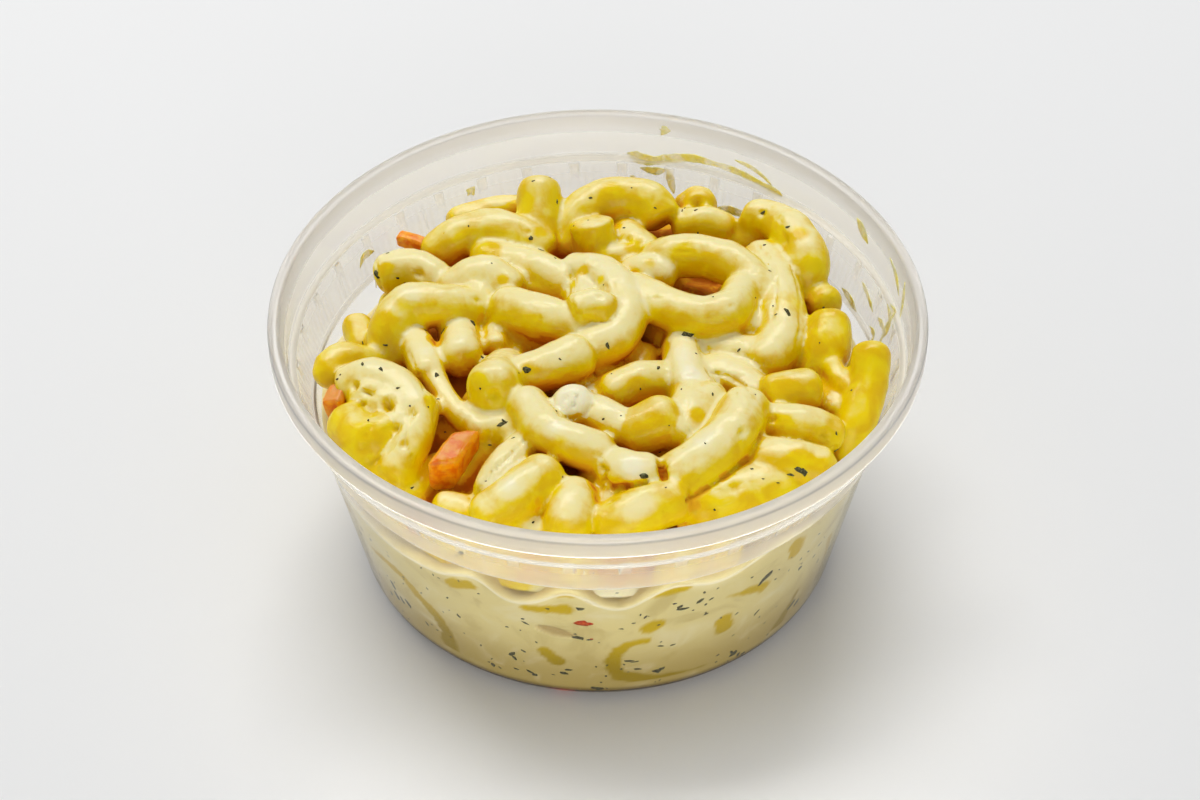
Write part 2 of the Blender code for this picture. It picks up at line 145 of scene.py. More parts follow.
def wall_place(u: float, v: float, far: bool) -> tuple[float, float]:
    """Find where a line of sight meets the inner wall.

    Args:
        u: Across, in the picture's pixels.
        v: Down, in the picture's pixels.
        far: Whether the wall at the far side is meant, and not the near one.

    Returns:
        The angle round the axis in radians, and the height in mm.
    """
    ray = sight(u, v)
    steps = np.arange(*SEARCH)
    places = np.array(EYE)[None, :] + steps[:, None] * np.array(ray)[None, :]
    radius = np.hypot(places[:, 0], places[:, 1])
    wall = wall_radii(places[:, 2])
    inside = np.flatnonzero((radius < wall) & (places[:, 2] > 0.0) & (places[:, 2] < HEIGHT))
    if len(inside) == 0:
        inside = np.array([int(np.argmin(np.abs(radius - wall)))])
    place = places[inside[-1] if far else inside[0]]
    return math.atan2(place[1], place[0]), max(LOWEST_MARK, float(place[2]))


def smooth_route(points: list[Vector], spacing: float) -> list[Vector]:
    """Run a Catmull-Rom curve through points.

    Args:
        points: The points to pass through.
        spacing: About how far apart the new points are.

    Returns:
        The points of the curve, first and last included.
    """
    ends = [points[0] * 2 - points[1], *points, points[-1] * 2 - points[-2]]
    route = []
    for before, start, end, after in zip(ends, ends[1:], ends[2:], ends[3:]):
        count = max(2, round((end - start).length / spacing))
        for step in range(count):
            t = step / count
            route.append(0.5 * (2 * start + (end - before) * t
                                + (2 * before - 5 * start + 4 * end - after) * t * t
                                + (3 * start - before - 3 * end + after) * t * t * t))
    return [*route, points[-1]]


def as_mesh(form: bmesh.types.BMesh, name: str) -> bpy.types.Mesh:
    """Make a mesh of a finished form, and free the form.

    Args:
        form: The form.
        name: The mesh's name.

    Returns:
        The mesh.
    """
    mesh = bpy.data.meshes.new(name)
    form.to_mesh(mesh)
    form.free()
    return mesh


def turned(profile: list[tuple[float, float]], steps: int, merge: float,
           closed: bool = False) -> bmesh.types.BMesh:
    """Turn a section round the axis.

    Args:
        profile: (radius, height) of the section's points, in mm.
        steps: How many steps the whole turn has.
        merge: How near points lie that become one, in mm.
        closed: Whether the last point joins the first.

    Returns:
        The form, with normals still to be turned outwards.
    """
    form = bmesh.new()
    points = [form.verts.new((radius * MM, 0.0, height * MM)) for radius, height in profile]
    for start, end in zip(points, [*points[1:], points[0]] if closed else points[1:]):
        form.edges.new((start, end))
    bmesh.ops.spin(form, geom=[*form.verts, *form.edges], cent=(0.0, 0.0, 0.0),
                   axis=(0.0, 0.0, 1.0), angle=math.tau, steps=steps, use_merge=True)
    bmesh.ops.remove_doubles(form, verts=form.verts, dist=merge * MM)
    return form


def smooth_out(form: bmesh.types.BMesh, times: int) -> None:
    """Draw each point of a form towards its neighbours.

    Args:
        form: The form, which is changed.
        times: How many times.
    """
    for _ in range(times):
        bmesh.ops.smooth_vert(form, verts=form.verts, factor=0.5, use_axis_x=True,
                              use_axis_y=True, use_axis_z=True)


def triangle_count(mesh: bpy.types.Mesh) -> int:
    """Count a mesh's faces as triangles."""
    return sum(len(face.vertices) - 2 for face in mesh.polygons)


def sweep(stations: list[Matrix], sides: int) -> bpy.types.Mesh:
    """Extrude a ring from station to station into a closed solid.

    Args:
        stations: Matrices that place and size a ring of radius one, in metres.
        sides: How many sides the ring has.

    Returns:
        The solid's mesh.
    """
    form = bmesh.new()
    bmesh.ops.create_circle(form, cap_ends=False, segments=sides, radius=1.0,
                            matrix=stations[0])
    ring = list(form.edges)
    for before, after in zip(stations, stations[1:]):
        grown = bmesh.ops.extrude_edge_only(form, edges=ring)["geom"]
        ring = [part for part in grown if isinstance(part, bmesh.types.BMEdge)]
        corners = [part for part in grown if isinstance(part, bmesh.types.BMVert)]
        bmesh.ops.transform(form, matrix=after @ before.inverted_safe(), verts=corners)
    bmesh.ops.holes_fill(form, edges=form.edges, sides=0)
    bmesh.ops.recalc_face_normals(form, faces=form.faces)
    return as_mesh(form, "swept")


def ring_stations(route: list[Vector], ways: list[Vector],
                  radii: list[tuple[float, float]]) -> list[Matrix]:
    """Place rings square to a route without twisting them.

    Args:
        route: The points of the centre line, in mm.
        ways: The direction that each ring faces.
        radii: Half width and half depth of each ring, in mm.

    Returns:
        One matrix for each ring, in metres.
    """
    stations = []
    turn = None
    for place, along, (wide, deep) in zip(route, ways, radii):
        if turn is None:
            first = Vector((0.0, 0.0, 1.0)) if abs(along.z) < 0.9 else Vector((1.0, 0.0, 0.0))
            across = (first - along * first.dot(along)).normalized()
            turn = Matrix((across, along.cross(across), along)).transposed()
        else:
            bend = turn.col[2].rotation_difference(along)
            turn = bend.to_matrix() @ turn
        size = Matrix.Diagonal((wide * MM, deep * MM, MM, 1.0))
        stations.append(Matrix.Translation(place * MM) @ turn.to_4x4() @ size)
    return stations


def new_piece(name: str, mesh: bpy.types.Mesh) -> bpy.types.Object:
    """Put a mesh into the scene as an object at the origin.

    Args:
        name: The piece's name.
        mesh: Its mesh.

    Returns:
        The object.
    """
    mesh.name = name
    piece = bpy.data.objects.new(name, mesh)
    bpy.context.scene.collection.objects.link(piece)
    return piece


def join_meshes(name: str, meshes: list[bpy.types.Mesh]) -> bpy.types.Mesh:
    """Gather several meshes into one, and drop the single ones.

    Args:
        name: The new mesh's name.
        meshes: What to gather.

    Returns:
        The one mesh.
    """
    form = bmesh.new()
    for mesh in meshes:
        form.from_mesh(mesh)
    joined = as_mesh(form, name)
    for mesh in meshes:
        bpy.data.meshes.remove(mesh)
    return joined


def apply_modifiers(piece: bpy.types.Object) -> None:
    """Make a piece's modified shape its own mesh.

    Args:
        piece: The piece, with its modifiers.
    """
    graph = bpy.context.evaluated_depsgraph_get()
    shaped = bpy.data.meshes.new_from_object(piece.evaluated_get(graph))
    piece.modifiers.clear()
    old, piece.data = piece.data, shaped
    shaped.name = old.name
    bpy.data.meshes.remove(old)


def mesh_arrays(mesh: bpy.types.Mesh) -> tuple[np.ndarray, np.ndarray]:
    """Read the places and normals of a mesh's vertices.

    Args:
        mesh: The mesh.

    Returns:
        Places in mm and unit normals, one row for each vertex.
    """
    count = len(mesh.vertices)
    places, normals = np.zeros(count * 3), np.zeros(count * 3)
    mesh.vertices.foreach_get("co", places)
    mesh.vertex_normals.foreach_get("vector", normals)
    return places.reshape(-1, 3) / MM, normals.reshape(-1, 3)


def set_places(mesh: bpy.types.Mesh, places: np.ndarray) -> None:
    """Write the places of a mesh's vertices, given in mm."""
    mesh.vertices.foreach_set("co", (places * MM).ravel())
    mesh.update()


def set_values(mesh: bpy.types.Mesh, name: str, values: np.ndarray) -> None:
    """Keep one number for each vertex under a name that materials read."""
    layer = mesh.attributes.new(name, "FLOAT", "POINT")
    layer.data.foreach_set("value", values.astype(np.float32))


def soft_step(values: np.ndarray, low: float, high: float) -> np.ndarray:
    """Go smoothly from 0 at low to 1 at high."""
    share = np.clip((values - low) / (high - low), 0.0, 1.0)
    return share * share * (3.0 - 2.0 * share)


def near_share(places: np.ndarray, spot: Vector, radius: float) -> np.ndarray:
    """Tell how near places are to a spot: 1 on it, and 0 from the radius on."""
    away = np.linalg.norm(places - np.array(spot), axis=1) / radius
    return (1.0 - np.minimum(away, 1.0) ** 2) ** 2


def skin_tree(mesh: bpy.types.Mesh) -> BVHTree:
    """Sort a mesh's faces so that what a ray meets is found quickly."""
    return BVHTree.FromPolygons([vertex.co for vertex in mesh.vertices],
                                [tuple(face.vertices) for face in mesh.polygons])


def add_marks(values: np.ndarray, places: np.ndarray, skin: BVHTree, marks: list[tuple],
              sign: float) -> None:
    """Add soft round marks to the values of a skin's vertices.

    Args:
        values: One value for each vertex, which is changed.
        places: Where the vertices are, in mm.
        skin: The skin's faces.
        marks: Across and down in the picture, radius in mm, and how much.
        sign: 1 to add the marks, -1 to take them off.
    """
    for u, v, radius, share in marks:
        hit = skin.ray_cast(EYE * MM, sight(u, v))[0]
        if hit is not None:
            values += sign * share * near_share(places, hit / MM, radius)


def dress(piece: bpy.types.Object, material: bpy.types.Material,
          nodes: tuple[str, ...] = ()) -> None:
    """Give a finished piece its material, body, slot and the CAD nodes it stands for.

    Args:
        piece: The finished piece.
        material: Its material.
        nodes: CAD nodes that it replaces.
    """
    piece.data.materials.clear()
    piece.data.materials.append(material)
    piece.data.shade_smooth()
    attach(piece, BODY)
    if nodes:
        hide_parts(*nodes)
    LOG.info("%s: %d triangles", piece.name, triangle_count(piece.data))


class Graph:
    """A material's node tree, with short calls to add nodes and link them."""

    def __init__(self, name: str) -> None:
        """Start an empty material with an output.

        Args:
            name: The material's name.
        """
        self.material = bpy.data.materials.new(name)
        self.material.use_nodes = True
        self.tree = self.material.node_tree
        self.tree.nodes.clear()
        self.output = self.tree.nodes.new("ShaderNodeOutputMaterial")
        self.coordinates = self.tree.nodes.new("ShaderNodeTexCoord")

    def add(self, kind: str, inputs: dict | None = None, **settings: object) -> bpy.types.Node:
        """Add a node.

        Args:
            kind: The node's type.
            inputs: Values or sockets for its inputs, by name or number.
            settings: Properties of the node.

        Returns:
            The node.
        """
        node = self.tree.nodes.new(kind)
        for key, value in settings.items():
            setattr(node, key, value)
        for key, value in (inputs or {}).items():
            if isinstance(value, bpy.types.NodeSocket):
                self.tree.links.new(value, node.inputs[key])
            else:
                node.inputs[key].default_value = value
        return node

    def attribute(self, name: str) -> bpy.types.NodeSocket:
        """Read one of the mesh's own values."""
        return self.add("ShaderNodeAttribute", attribute_name=name).outputs["Fac"]

    def noise(self, size_mm: float, detail: float = 2.0, seed: float = 0.0,
              stretch: tuple = (1.0, 1.0, 1.0), distortion: float = 0.0) -> bpy.types.NodeSocket:
        """Add a noise pattern in object coordinates.

        Args:
            size_mm: About how far apart its lumps are.
            detail: How many finer layers it has.
            seed: Moves the pattern.
            stretch: Scale along each axis.
            distortion: How far it is bent.

        Returns:
            The pattern, about 0 to 1.
        """
        place = self.add("ShaderNodeMapping", {"Vector": self.coordinates.outputs["Object"],
                                               "Location": (seed, seed * 0.7, seed * 0.3),
                                               "Scale": stretch})
        pattern = self.add("ShaderNodeTexNoise",
                           {"Vector": place.outputs["Vector"], "Scale": 1000.0 / size_mm,
                            "Detail": detail, "Distortion": distortion})
        return pattern.outputs["Fac"]

    def math(self, operation: str, first: object, second: object) -> bpy.types.NodeSocket:
        """Combine two values."""
        node = self.add("ShaderNodeMath", {0: first, 1: second}, operation=operation)
        return node.outputs[0]

    def span(self, value: object, low: float, high: float, start: float = 0.0,
             end: float = 1.0) -> bpy.types.NodeSocket:
        """Map a value smoothly from one range to another.

        Args:
            value: The value.
            low: Where its range begins.
            high: Where its range ends.
            start: What low becomes.
            end: What high becomes.

        Returns:
            The mapped value.
        """
        node = self.add("ShaderNodeMapRange",
                        {"Value": value, "From Min": low, "From Max": high, "To Min": start,
                         "To Max": end}, interpolation_type="SMOOTHSTEP")
        return node.outputs["Result"]

    def mix(self, share: object, first: object, second: object) -> bpy.types.NodeSocket:
        """Mix two colours.

        Args:
            share: How much of the second there is, 0 to 1.
            first: A colour, as a socket or three numbers.
            second: The other colour.

        Returns:
            The mixed colour.
        """
        node = self.add("ShaderNodeMix", data_type="RGBA")
        for socket, value in ((node.inputs[0], share), (node.inputs[6], first),
                              (node.inputs[7], second)):
            if isinstance(value, bpy.types.NodeSocket):
                self.tree.links.new(value, socket)
            elif isinstance(value, tuple):
                socket.default_value = (*value, 1.0)
            else:
                socket.default_value = value
        return node.outputs[2]

    def bump(self, height: bpy.types.NodeSocket, depth_mm: float,
             below: bpy.types.NodeSocket | None = None) -> bpy.types.NodeSocket:
        """Turn a pattern into relief.

        Args:
            height: The pattern, 0 to 1.
            depth_mm: How deep the relief is.
            below: Another relief that it lies on.

        Returns:
            The bent normal.
        """
        inputs = {"Height": height, "Distance": depth_mm * MM, "Strength": 1.0}
        if below is not None:
            inputs["Normal"] = below
        return self.add("ShaderNodeBump", inputs).outputs["Normal"]

    def close(self, shader: bpy.types.NodeSocket) -> bpy.types.Material:
        """Link the shader to the output and give the material."""
        self.tree.links.new(shader, self.output.inputs["Surface"])
        return self.material


@dataclass(frozen=True)
class PlasticFinish:
    """Clear moulded plastic, a little milky, with a painted dark line of shade round the lip's
    corner.
    """

    tint: tuple = (0.995, 0.985, 0.965)
    haze: tuple = (0.98, 0.95, 0.87)
    rim_tint: tuple = (0.93, 0.92, 0.905)
    rim_haze: tuple = (0.86, 0.83, 0.77)
    # Painted shade: the dark line that the clear lip's outer top corner shows
    rim_edge_shade_tint: tuple = (0.50, 0.51, 0.53)
    milk_low: float = 0.002
    milk_high: float = 0.20
    milk_thick: float = 0.42
    milk_rim: float = 0.07
    haze_back: float = 0.4
    rim_dull: float = 0.22
    shine_low: float = 0.15
    shine_high: float = 1.0
    roughness: float = 0.09
    refraction: float = 1.45
    shade_through: tuple = (0.97, 0.965, 0.955)

    def make(self) -> bpy.types.Material:
        """Make the material.

        Returns:
            The material.
        """
        graph = Graph("clear_plastic")
        waves = graph.noise(9.0, 1.0, stretch=(1.0, 1.0, 0.6))
        relief = graph.bump(waves, 0.05)
        gloss = graph.span(graph.noise(14.0, 3.0, seed=7.0), 0.3, 0.7, self.roughness * 0.7,
                           self.roughness * 1.5)
        height = graph.add("ShaderNodeSeparateXYZ",
                           {0: graph.coordinates.outputs["Object"]}).outputs["Z"]
        gloss = graph.math("ADD", gloss, graph.span(height, (LIP_BOTTOM - 1.0) * MM,
                                                    (LIP_BOTTOM + 0.5) * MM, 0.0, self.rim_dull))
        milk = graph.span(height, (STEP_HEIGHT - 0.5) * MM, (LEDGE_HEIGHT + 1.0) * MM,
                          self.milk_low, self.milk_high)
        rim = graph.span(height, (LIP_BOTTOM - 0.3) * MM, (LIP_BOTTOM + 0.1) * MM)
        # The lip's outer top corner, where tint and haze turn to the painted dark line of shade
        corner = graph.attribute("corner")
        milk = graph.math("ADD", milk, graph.math("MULTIPLY", rim, self.milk_rim))
        shine = graph.span(height, (STEP_HEIGHT - 1.5) * MM, STEP_HEIGHT * MM, self.shine_low,
                           self.shine_high)
        tint = graph.mix(corner, graph.mix(rim, self.tint, self.rim_tint), self.rim_edge_shade_tint)
        haze = graph.mix(corner, graph.mix(rim, self.haze, self.rim_haze), self.rim_edge_shade_tint)
        glassy = graph.add("ShaderNodeBsdfPrincipled",
                           {"Base Color": tint, "Roughness": gloss,
                            "IOR": self.refraction, "Transmission Weight": 1.0,
                            "Specular IOR Level": 0.12, "Specular Tint": shine,
                            "Normal": relief})
        milk = graph.math("ADD", milk, graph.math("MULTIPLY", graph.attribute("thick"),
                                                  self.milk_thick))
        through = graph.add("ShaderNodeBsdfTranslucent", {"Color": haze})
        back = graph.add("ShaderNodeBsdfDiffuse", {"Color": haze})
        hazy = graph.add("ShaderNodeMixShader", {0: self.haze_back, 1: through.outputs[0],
                                                 2: back.outputs[0]})
        shader = graph.add("ShaderNodeMixShader", {0: milk, 1: glassy.outputs[0],
                                                   2: hazy.outputs[0]})
        clear = graph.add("ShaderNodeBsdfTransparent", {"Color": (*self.shade_through, 1.0)})
        path = graph.add("ShaderNodeLightPath")
        both = graph.add("ShaderNodeMixShader", {0: path.outputs["Is Shadow Ray"],
                                                 1: shader.outputs[0], 2: clear.outputs[0]})
        return graph.close(both.outputs[0])


@dataclass(frozen=True)
class DressedPastaFinish:
    """Cooked pasta under a cream dressing, thin here and thick there, with painted shade in the
    gaps.
    """

    pasta_bright: tuple = (0.88, 0.68, 0.002)
    pasta_deep: tuple = (0.80, 0.53, 0.001)
    cream: tuple = (0.93, 0.82, 0.40)
    cream_thick: tuple = (0.97, 0.90, 0.62)
    # Painted shade: the two colours that the gaps darken to, by how hidden the skin is
    hollow: tuple = (0.78, 0.40, 0.006)
    deepest_gap_shade: tuple = (0.60, 0.19, 0.003)
    roughness: float = 0.20
    scatter: float = 0.25

    def make(self) -> bpy.types.Material:
        """Make the material.

        Returns:
            The material.
        """
        graph = Graph("dressed_macaroni")
        # The second value is painted shade: it takes off cream, darkens to the hollow colours and
        # roughens
        coat, gap_shade = graph.attribute("coat"), graph.attribute("gap_shade")
        patches = graph.noise(4.5, 3.0, distortion=0.6)
        flecks = graph.noise(1.2, 3.0, seed=2.0)
        pasta = graph.mix(graph.span(patches, 0.35, 0.65), self.pasta_deep, self.pasta_bright)
        uneven = graph.math("ADD", coat, graph.math("MULTIPLY",
                                                    graph.math("SUBTRACT", patches, 0.5), 0.5))
        uneven = graph.math("ADD", uneven, graph.math("MULTIPLY",
                                                      graph.math("SUBTRACT", flecks, 0.5), 0.16))
        uneven = graph.math("SUBTRACT", uneven, graph.span(gap_shade, 0.28, 0.66, 0.0, 0.7))
        colour = graph.mix(graph.span(uneven, 0.18, 0.60), pasta, self.cream)
        colour = graph.mix(graph.span(uneven, 0.55, 1.05), colour, self.cream_thick)
        colour = graph.mix(graph.span(gap_shade, 0.42, 0.72), colour, self.hollow)
        colour = graph.mix(graph.span(gap_shade, 0.72, 0.92), colour, self.deepest_gap_shade)
        relief = graph.bump(graph.noise(2.6, 3.0, seed=5.0, distortion=0.8), 0.12)
        relief = graph.bump(graph.noise(0.9, 2.0, seed=9.0), 0.025, relief)
        gloss = graph.span(flecks, 0.3, 0.7, self.roughness * 0.75, self.roughness * 1.35)
        gloss = graph.math("ADD", gloss, graph.span(gap_shade, 0.40, 0.70, 0.0, 0.6))
        shader = graph.add("ShaderNodeBsdfPrincipled",
                           {"Base Color": colour, "Roughness": gloss, "IOR": 1.42,
                            "Specular IOR Level": 0.28,
                            "Subsurface Weight": self.scatter,
                            "Subsurface Radius": (1.0, 0.62, 0.22),
                            "Subsurface Scale": 0.0016, "Normal": relief})
        return graph.close(shader.outputs[0])


@dataclass(frozen=True)
class WallDressingFinish:
    """Cream dressing pressed against the wall, with pasta and air showing in it, and painted
    shade.
    """

    cream: tuple = (0.88, 0.775, 0.38)
    # Painted shade: darker cream towards the bottom of the wall, also used for random clouds
    low_shade_and_cloud_cream: tuple = (0.58, 0.45, 0.14)
    edge: tuple = (0.96, 0.90, 0.66)
    pasta: tuple = (0.70, 0.50, 0.001)
    # Painted shade on pasta low on the wall
    low_shade_pasta: tuple = (0.42, 0.29, 0.0003)
    # Painted shade seen in pockets of air and the recess behind the top edge
    shaded_air: tuple = (0.52, 0.38, 0.14)
    # Painted shade: a dark line where the dressing meets the floor of the tub
    foot_shade: tuple = (0.16, 0.08, 0.004)

    def make(self) -> bpy.types.Material:
        """Make the material.

        Returns:
            The material.
        """
        graph = Graph("wall_dressing")
        low = graph.attribute("low")
        clouds = graph.noise(9.0, 4.0, distortion=0.8)
        # Painted shade: the cream, and below the pasta, turn darker towards the bottom of the wall
        colour = graph.mix(graph.span(low, 0.0, 1.0), self.cream, self.low_shade_and_cloud_cream)
        colour = graph.mix(graph.span(clouds, 0.50, 0.75, 0.0, 0.5), colour, self.edge)
        # Random darker clouds of the same cream
        colour = graph.mix(graph.span(clouds, 0.30, 0.48, 0.45, 0.0), colour, self.low_shade_and_cloud_cream)
        pasta = graph.mix(graph.span(low, 0.15, 0.75), self.pasta, self.low_shade_pasta)
        colour = graph.mix(graph.attribute("pasta"), colour, pasta)
        # Painted shade in the pockets of air and the recess behind the top edge
        colour = graph.mix(graph.attribute("shaded_air"), colour, self.shaded_air)
        colour = graph.mix(graph.attribute("edge"), colour, self.edge)
        # Painted shade at the foot of the wall
        colour = graph.mix(graph.attribute("foot_shade"), colour, self.foot_shade)
        relief = graph.bump(graph.noise(3.0, 3.0, seed=4.0), 0.08)
        shader = graph.add("ShaderNodeBsdfPrincipled",
                           {"Base Color": colour, "Roughness": 0.5,
                            "Specular IOR Level": 0.0, "Normal": relief})
        return graph.close(shader.outputs[0])


@dataclass(frozen=True)
class CarrotFinish:
    """Diced carrot, wet, with cream dressing on its upper sides."""

    flesh: tuple = (0.98, 0.42, 0.004)
    deep: tuple = (0.80, 0.17, 0.001)
    pale: tuple = (0.88, 0.44, 0.05)
    cream: tuple = (0.66, 0.25, 0.07)

    def make(self) -> bpy.types.Material:
        """Make the material.

        Returns:
            The material.
        """
        graph = Graph("carrot")
        blotches = graph.noise(2.2, 4.0, distortion=0.5)
        colour = graph.mix(graph.span(blotches, 0.35, 0.65), self.deep, self.flesh)
        colour = graph.mix(graph.span(graph.noise(1.1, 3.0, seed=4.0), 0.5, 0.8, 0.0, 0.7),
                           colour, self.pale)
        film = graph.math("ADD", graph.attribute("film"),
                          graph.math("MULTIPLY", graph.math("SUBTRACT", blotches, 0.5), 0.9))
        colour = graph.mix(graph.span(film, 0.68, 1.20, 0.0, 0.7), colour, self.cream)
        relief = graph.bump(graph.noise(0.9, 3.0, seed=1.0), 0.07)
        shader = graph.add("ShaderNodeBsdfPrincipled",
                           {"Base Color": colour, "Roughness": 0.34, "Subsurface Weight": 0.3,
                            "Subsurface Radius": (1.0, 0.35, 0.1), "Subsurface Scale": 0.0015,
                            "Specular IOR Level": 0.3, "Normal": relief})
        return graph.close(shader.outputs[0])


@dataclass(frozen=True)
class SpeckFinish:
    """Dried herb, pepper or a scrap of red pepper."""

    name: str
    dark: tuple
    light: tuple

    def make(self) -> bpy.types.Material:
        """Make the material.

        Returns:
            The material.
        """
        graph = Graph(self.name)
        grain = graph.noise(0.35, 3.0)
        colour = graph.mix(graph.span(grain, 0.35, 0.7), self.dark, self.light)
        shader = graph.add("ShaderNodeBsdfPrincipled",
                           {"Base Color": colour, "Roughness": 0.55,
                            "Specular IOR Level": 0.2,
                            "Normal": graph.bump(grain, 0.03)})
        return graph.close(shader.outputs[0])


@dataclass(frozen=True)
class SmearFinish:
    """A thin film of dressing on the plastic."""

    thin: tuple = (0.92, 0.82, 0.20)
    thick: tuple = (0.96, 0.89, 0.45)
    cover: tuple = (0.35, 0.95)

    def make(self) -> bpy.types.Material:
        """Make the material.

        Returns:
            The material.
        """
        graph = Graph("dressing_film")
        colour = graph.mix(graph.span(graph.noise(1.8, 3.0), 0.35, 0.65), self.thin, self.thick)
        shader = graph.add("ShaderNodeBsdfPrincipled",
                           {"Base Color": colour, "Roughness": 0.3, "Subsurface Weight": 0.3,
                            "Subsurface Radius": (1.0, 0.7, 0.3), "Subsurface Scale": 0.0008,
                            "Normal": graph.bump(graph.noise(1.0, 2.0, seed=2.0), 0.05)})
        clear = graph.add("ShaderNodeBsdfTransparent")
        share = graph.span(graph.noise(2.6, 2.0, seed=6.0), 0.35, 0.65, *self.cover)
        film = graph.add("ShaderNodeMixShader", {0: share, 1: clear.outputs[0],
                                                 2: shader.outputs[0]})
        return graph.close(film.outputs[0])


@dataclass(frozen=True)
class FloorFinish:
    """Plain pale floor."""

    colour: tuple = (0.86, 0.865, 0.87)

    def make(self) -> bpy.types.Material:
        """Make the material.

        Returns:
            The material.
        """
        graph = Graph("pale_floor")
        shade = graph.mix(graph.span(graph.noise(60.0, 2.0), 0.3, 0.7, 0.0, 0.03), self.colour,
                          (0.8, 0.8, 0.8))
        shader = graph.add("ShaderNodeBsdfPrincipled", {"Base Color": shade, "Roughness": 0.7,
                                                        "Specular IOR Level": 0.2})
        return graph.close(shader.outputs[0])


class End(Enum):
    """How an elbow ends."""

    ROUND = "round"
    HOLLOW = "hollow"
    BLUNT = "blunt"
    THIN = "thin"


# How far apart an elbow's rings and its lumps are in mm, and what sets one elbow's lumps apart
RING_SPACING = 1.1
LUMP_SPACING = 5.5
SEED_STEP = 3.1


@dataclass(frozen=True)
class Elbow:
    """One elbow of macaroni, by the places that its centre line is seen to pass."""

    radius: float
    coat: float
    points: tuple
    start: End = End.ROUND
    end: End = End.ROUND

    def stations(self, shrink: float, swell: float, seed: int) -> list[Matrix]:
        """Place the rings of the elbow.

        Args:
            shrink: How much thinner the elbow is than its dressed shape, in mm.
            swell: How uneven its thickness is, in mm.
            seed: Makes its unevenness its own.

        Returns:
            A matrix for each ring.
        """
        route = smooth_route([carried(point) for point in self.points], RING_SPACING)
        own = Vector((seed * SEED_STEP, 0.0, 0.0))
        radii = [self.radius - shrink + noise.noise(place / LUMP_SPACING + own) * swell
                 for place in route]
        ways = [(after - before).normalized() for before, after in
                zip([route[0], *route[:-1]], [*route[1:], route[-1]])]
        start = self.cap(route[0], -ways[0], radii[0], self.start)
        end = self.cap(route[-1], ways[-1], radii[-1], self.end)
        route = [place for place, _ in reversed(start)] + route + [place for place, _ in end]
        radii = [size for _, size in reversed(start)] + radii + [size for _, size in end]
        ways = [ways[0]] * len(start) + ways + [ways[-1]] * len(end)
        route = [kept_inside(place, size) for place, size in zip(route, radii)]
        return ring_stations(route, ways, [(size, size) for size in radii])

    @staticmethod
    def cap(place: Vector, out: Vector, radius: float, kind: End) -> list[tuple[Vector, float]]:
        """Give the rings that close one end, from the elbow outwards.

        Args:
            place: The last point of the centre line.
            out: The way out of the elbow.
            radius: The elbow's radius there.
            kind: How it ends.

        Returns:
            Places and radii of the rings.
        """
        shape = {
            End.ROUND: [(0.22, 0.97), (0.42, 0.88), (0.58, 0.72), (0.69, 0.50), (0.75, 0.26),
                        (0.76, 0.08)],
            End.BLUNT: [(0.10, 0.97), (0.18, 0.88), (0.22, 0.70), (0.23, 0.35), (0.23, 0.10)],
            End.THIN: [(0.30, 0.82), (0.60, 0.60), (0.85, 0.38), (1.00, 0.20), (1.05, 0.06)],
            End.HOLLOW: [(0.12, 0.98), (0.24, 0.90), (0.30, 0.76), (0.28, 0.60), (0.16, 0.52),
                         (-0.10, 0.47), (-0.55, 0.42), (-0.75, 0.25), (-0.80, 0.08)],
        }[kind]
        return [(place + out * radius * reach, radius * size) for reach, size in shape]


# What stays free between an elbow and the wall, in mm
WALL_GAP = 0.5


def kept_inside(place: Vector, radius: float) -> Vector:
    """Pull a point towards the axis where a ring round it would cross the wall.

    Args:
        place: The ring's middle, in mm.
        radius: The ring's radius, in mm.

    Returns:
        The place to use.
    """
    reach = math.hypot(place.x, place.y)
    free = min(at_height(place.z + radius * math.sin(lean)) - radius * math.cos(lean)
               for lean in (math.radians(15.0 * step) for step in range(-5, 6))) - WALL_GAP
    if reach > free:
        return Vector((place.x * free / reach, place.y * free / reach, place.z))
    return place


HOLLOW, BLUNT, THIN = End.HOLLOW, End.BLUNT, End.THIN

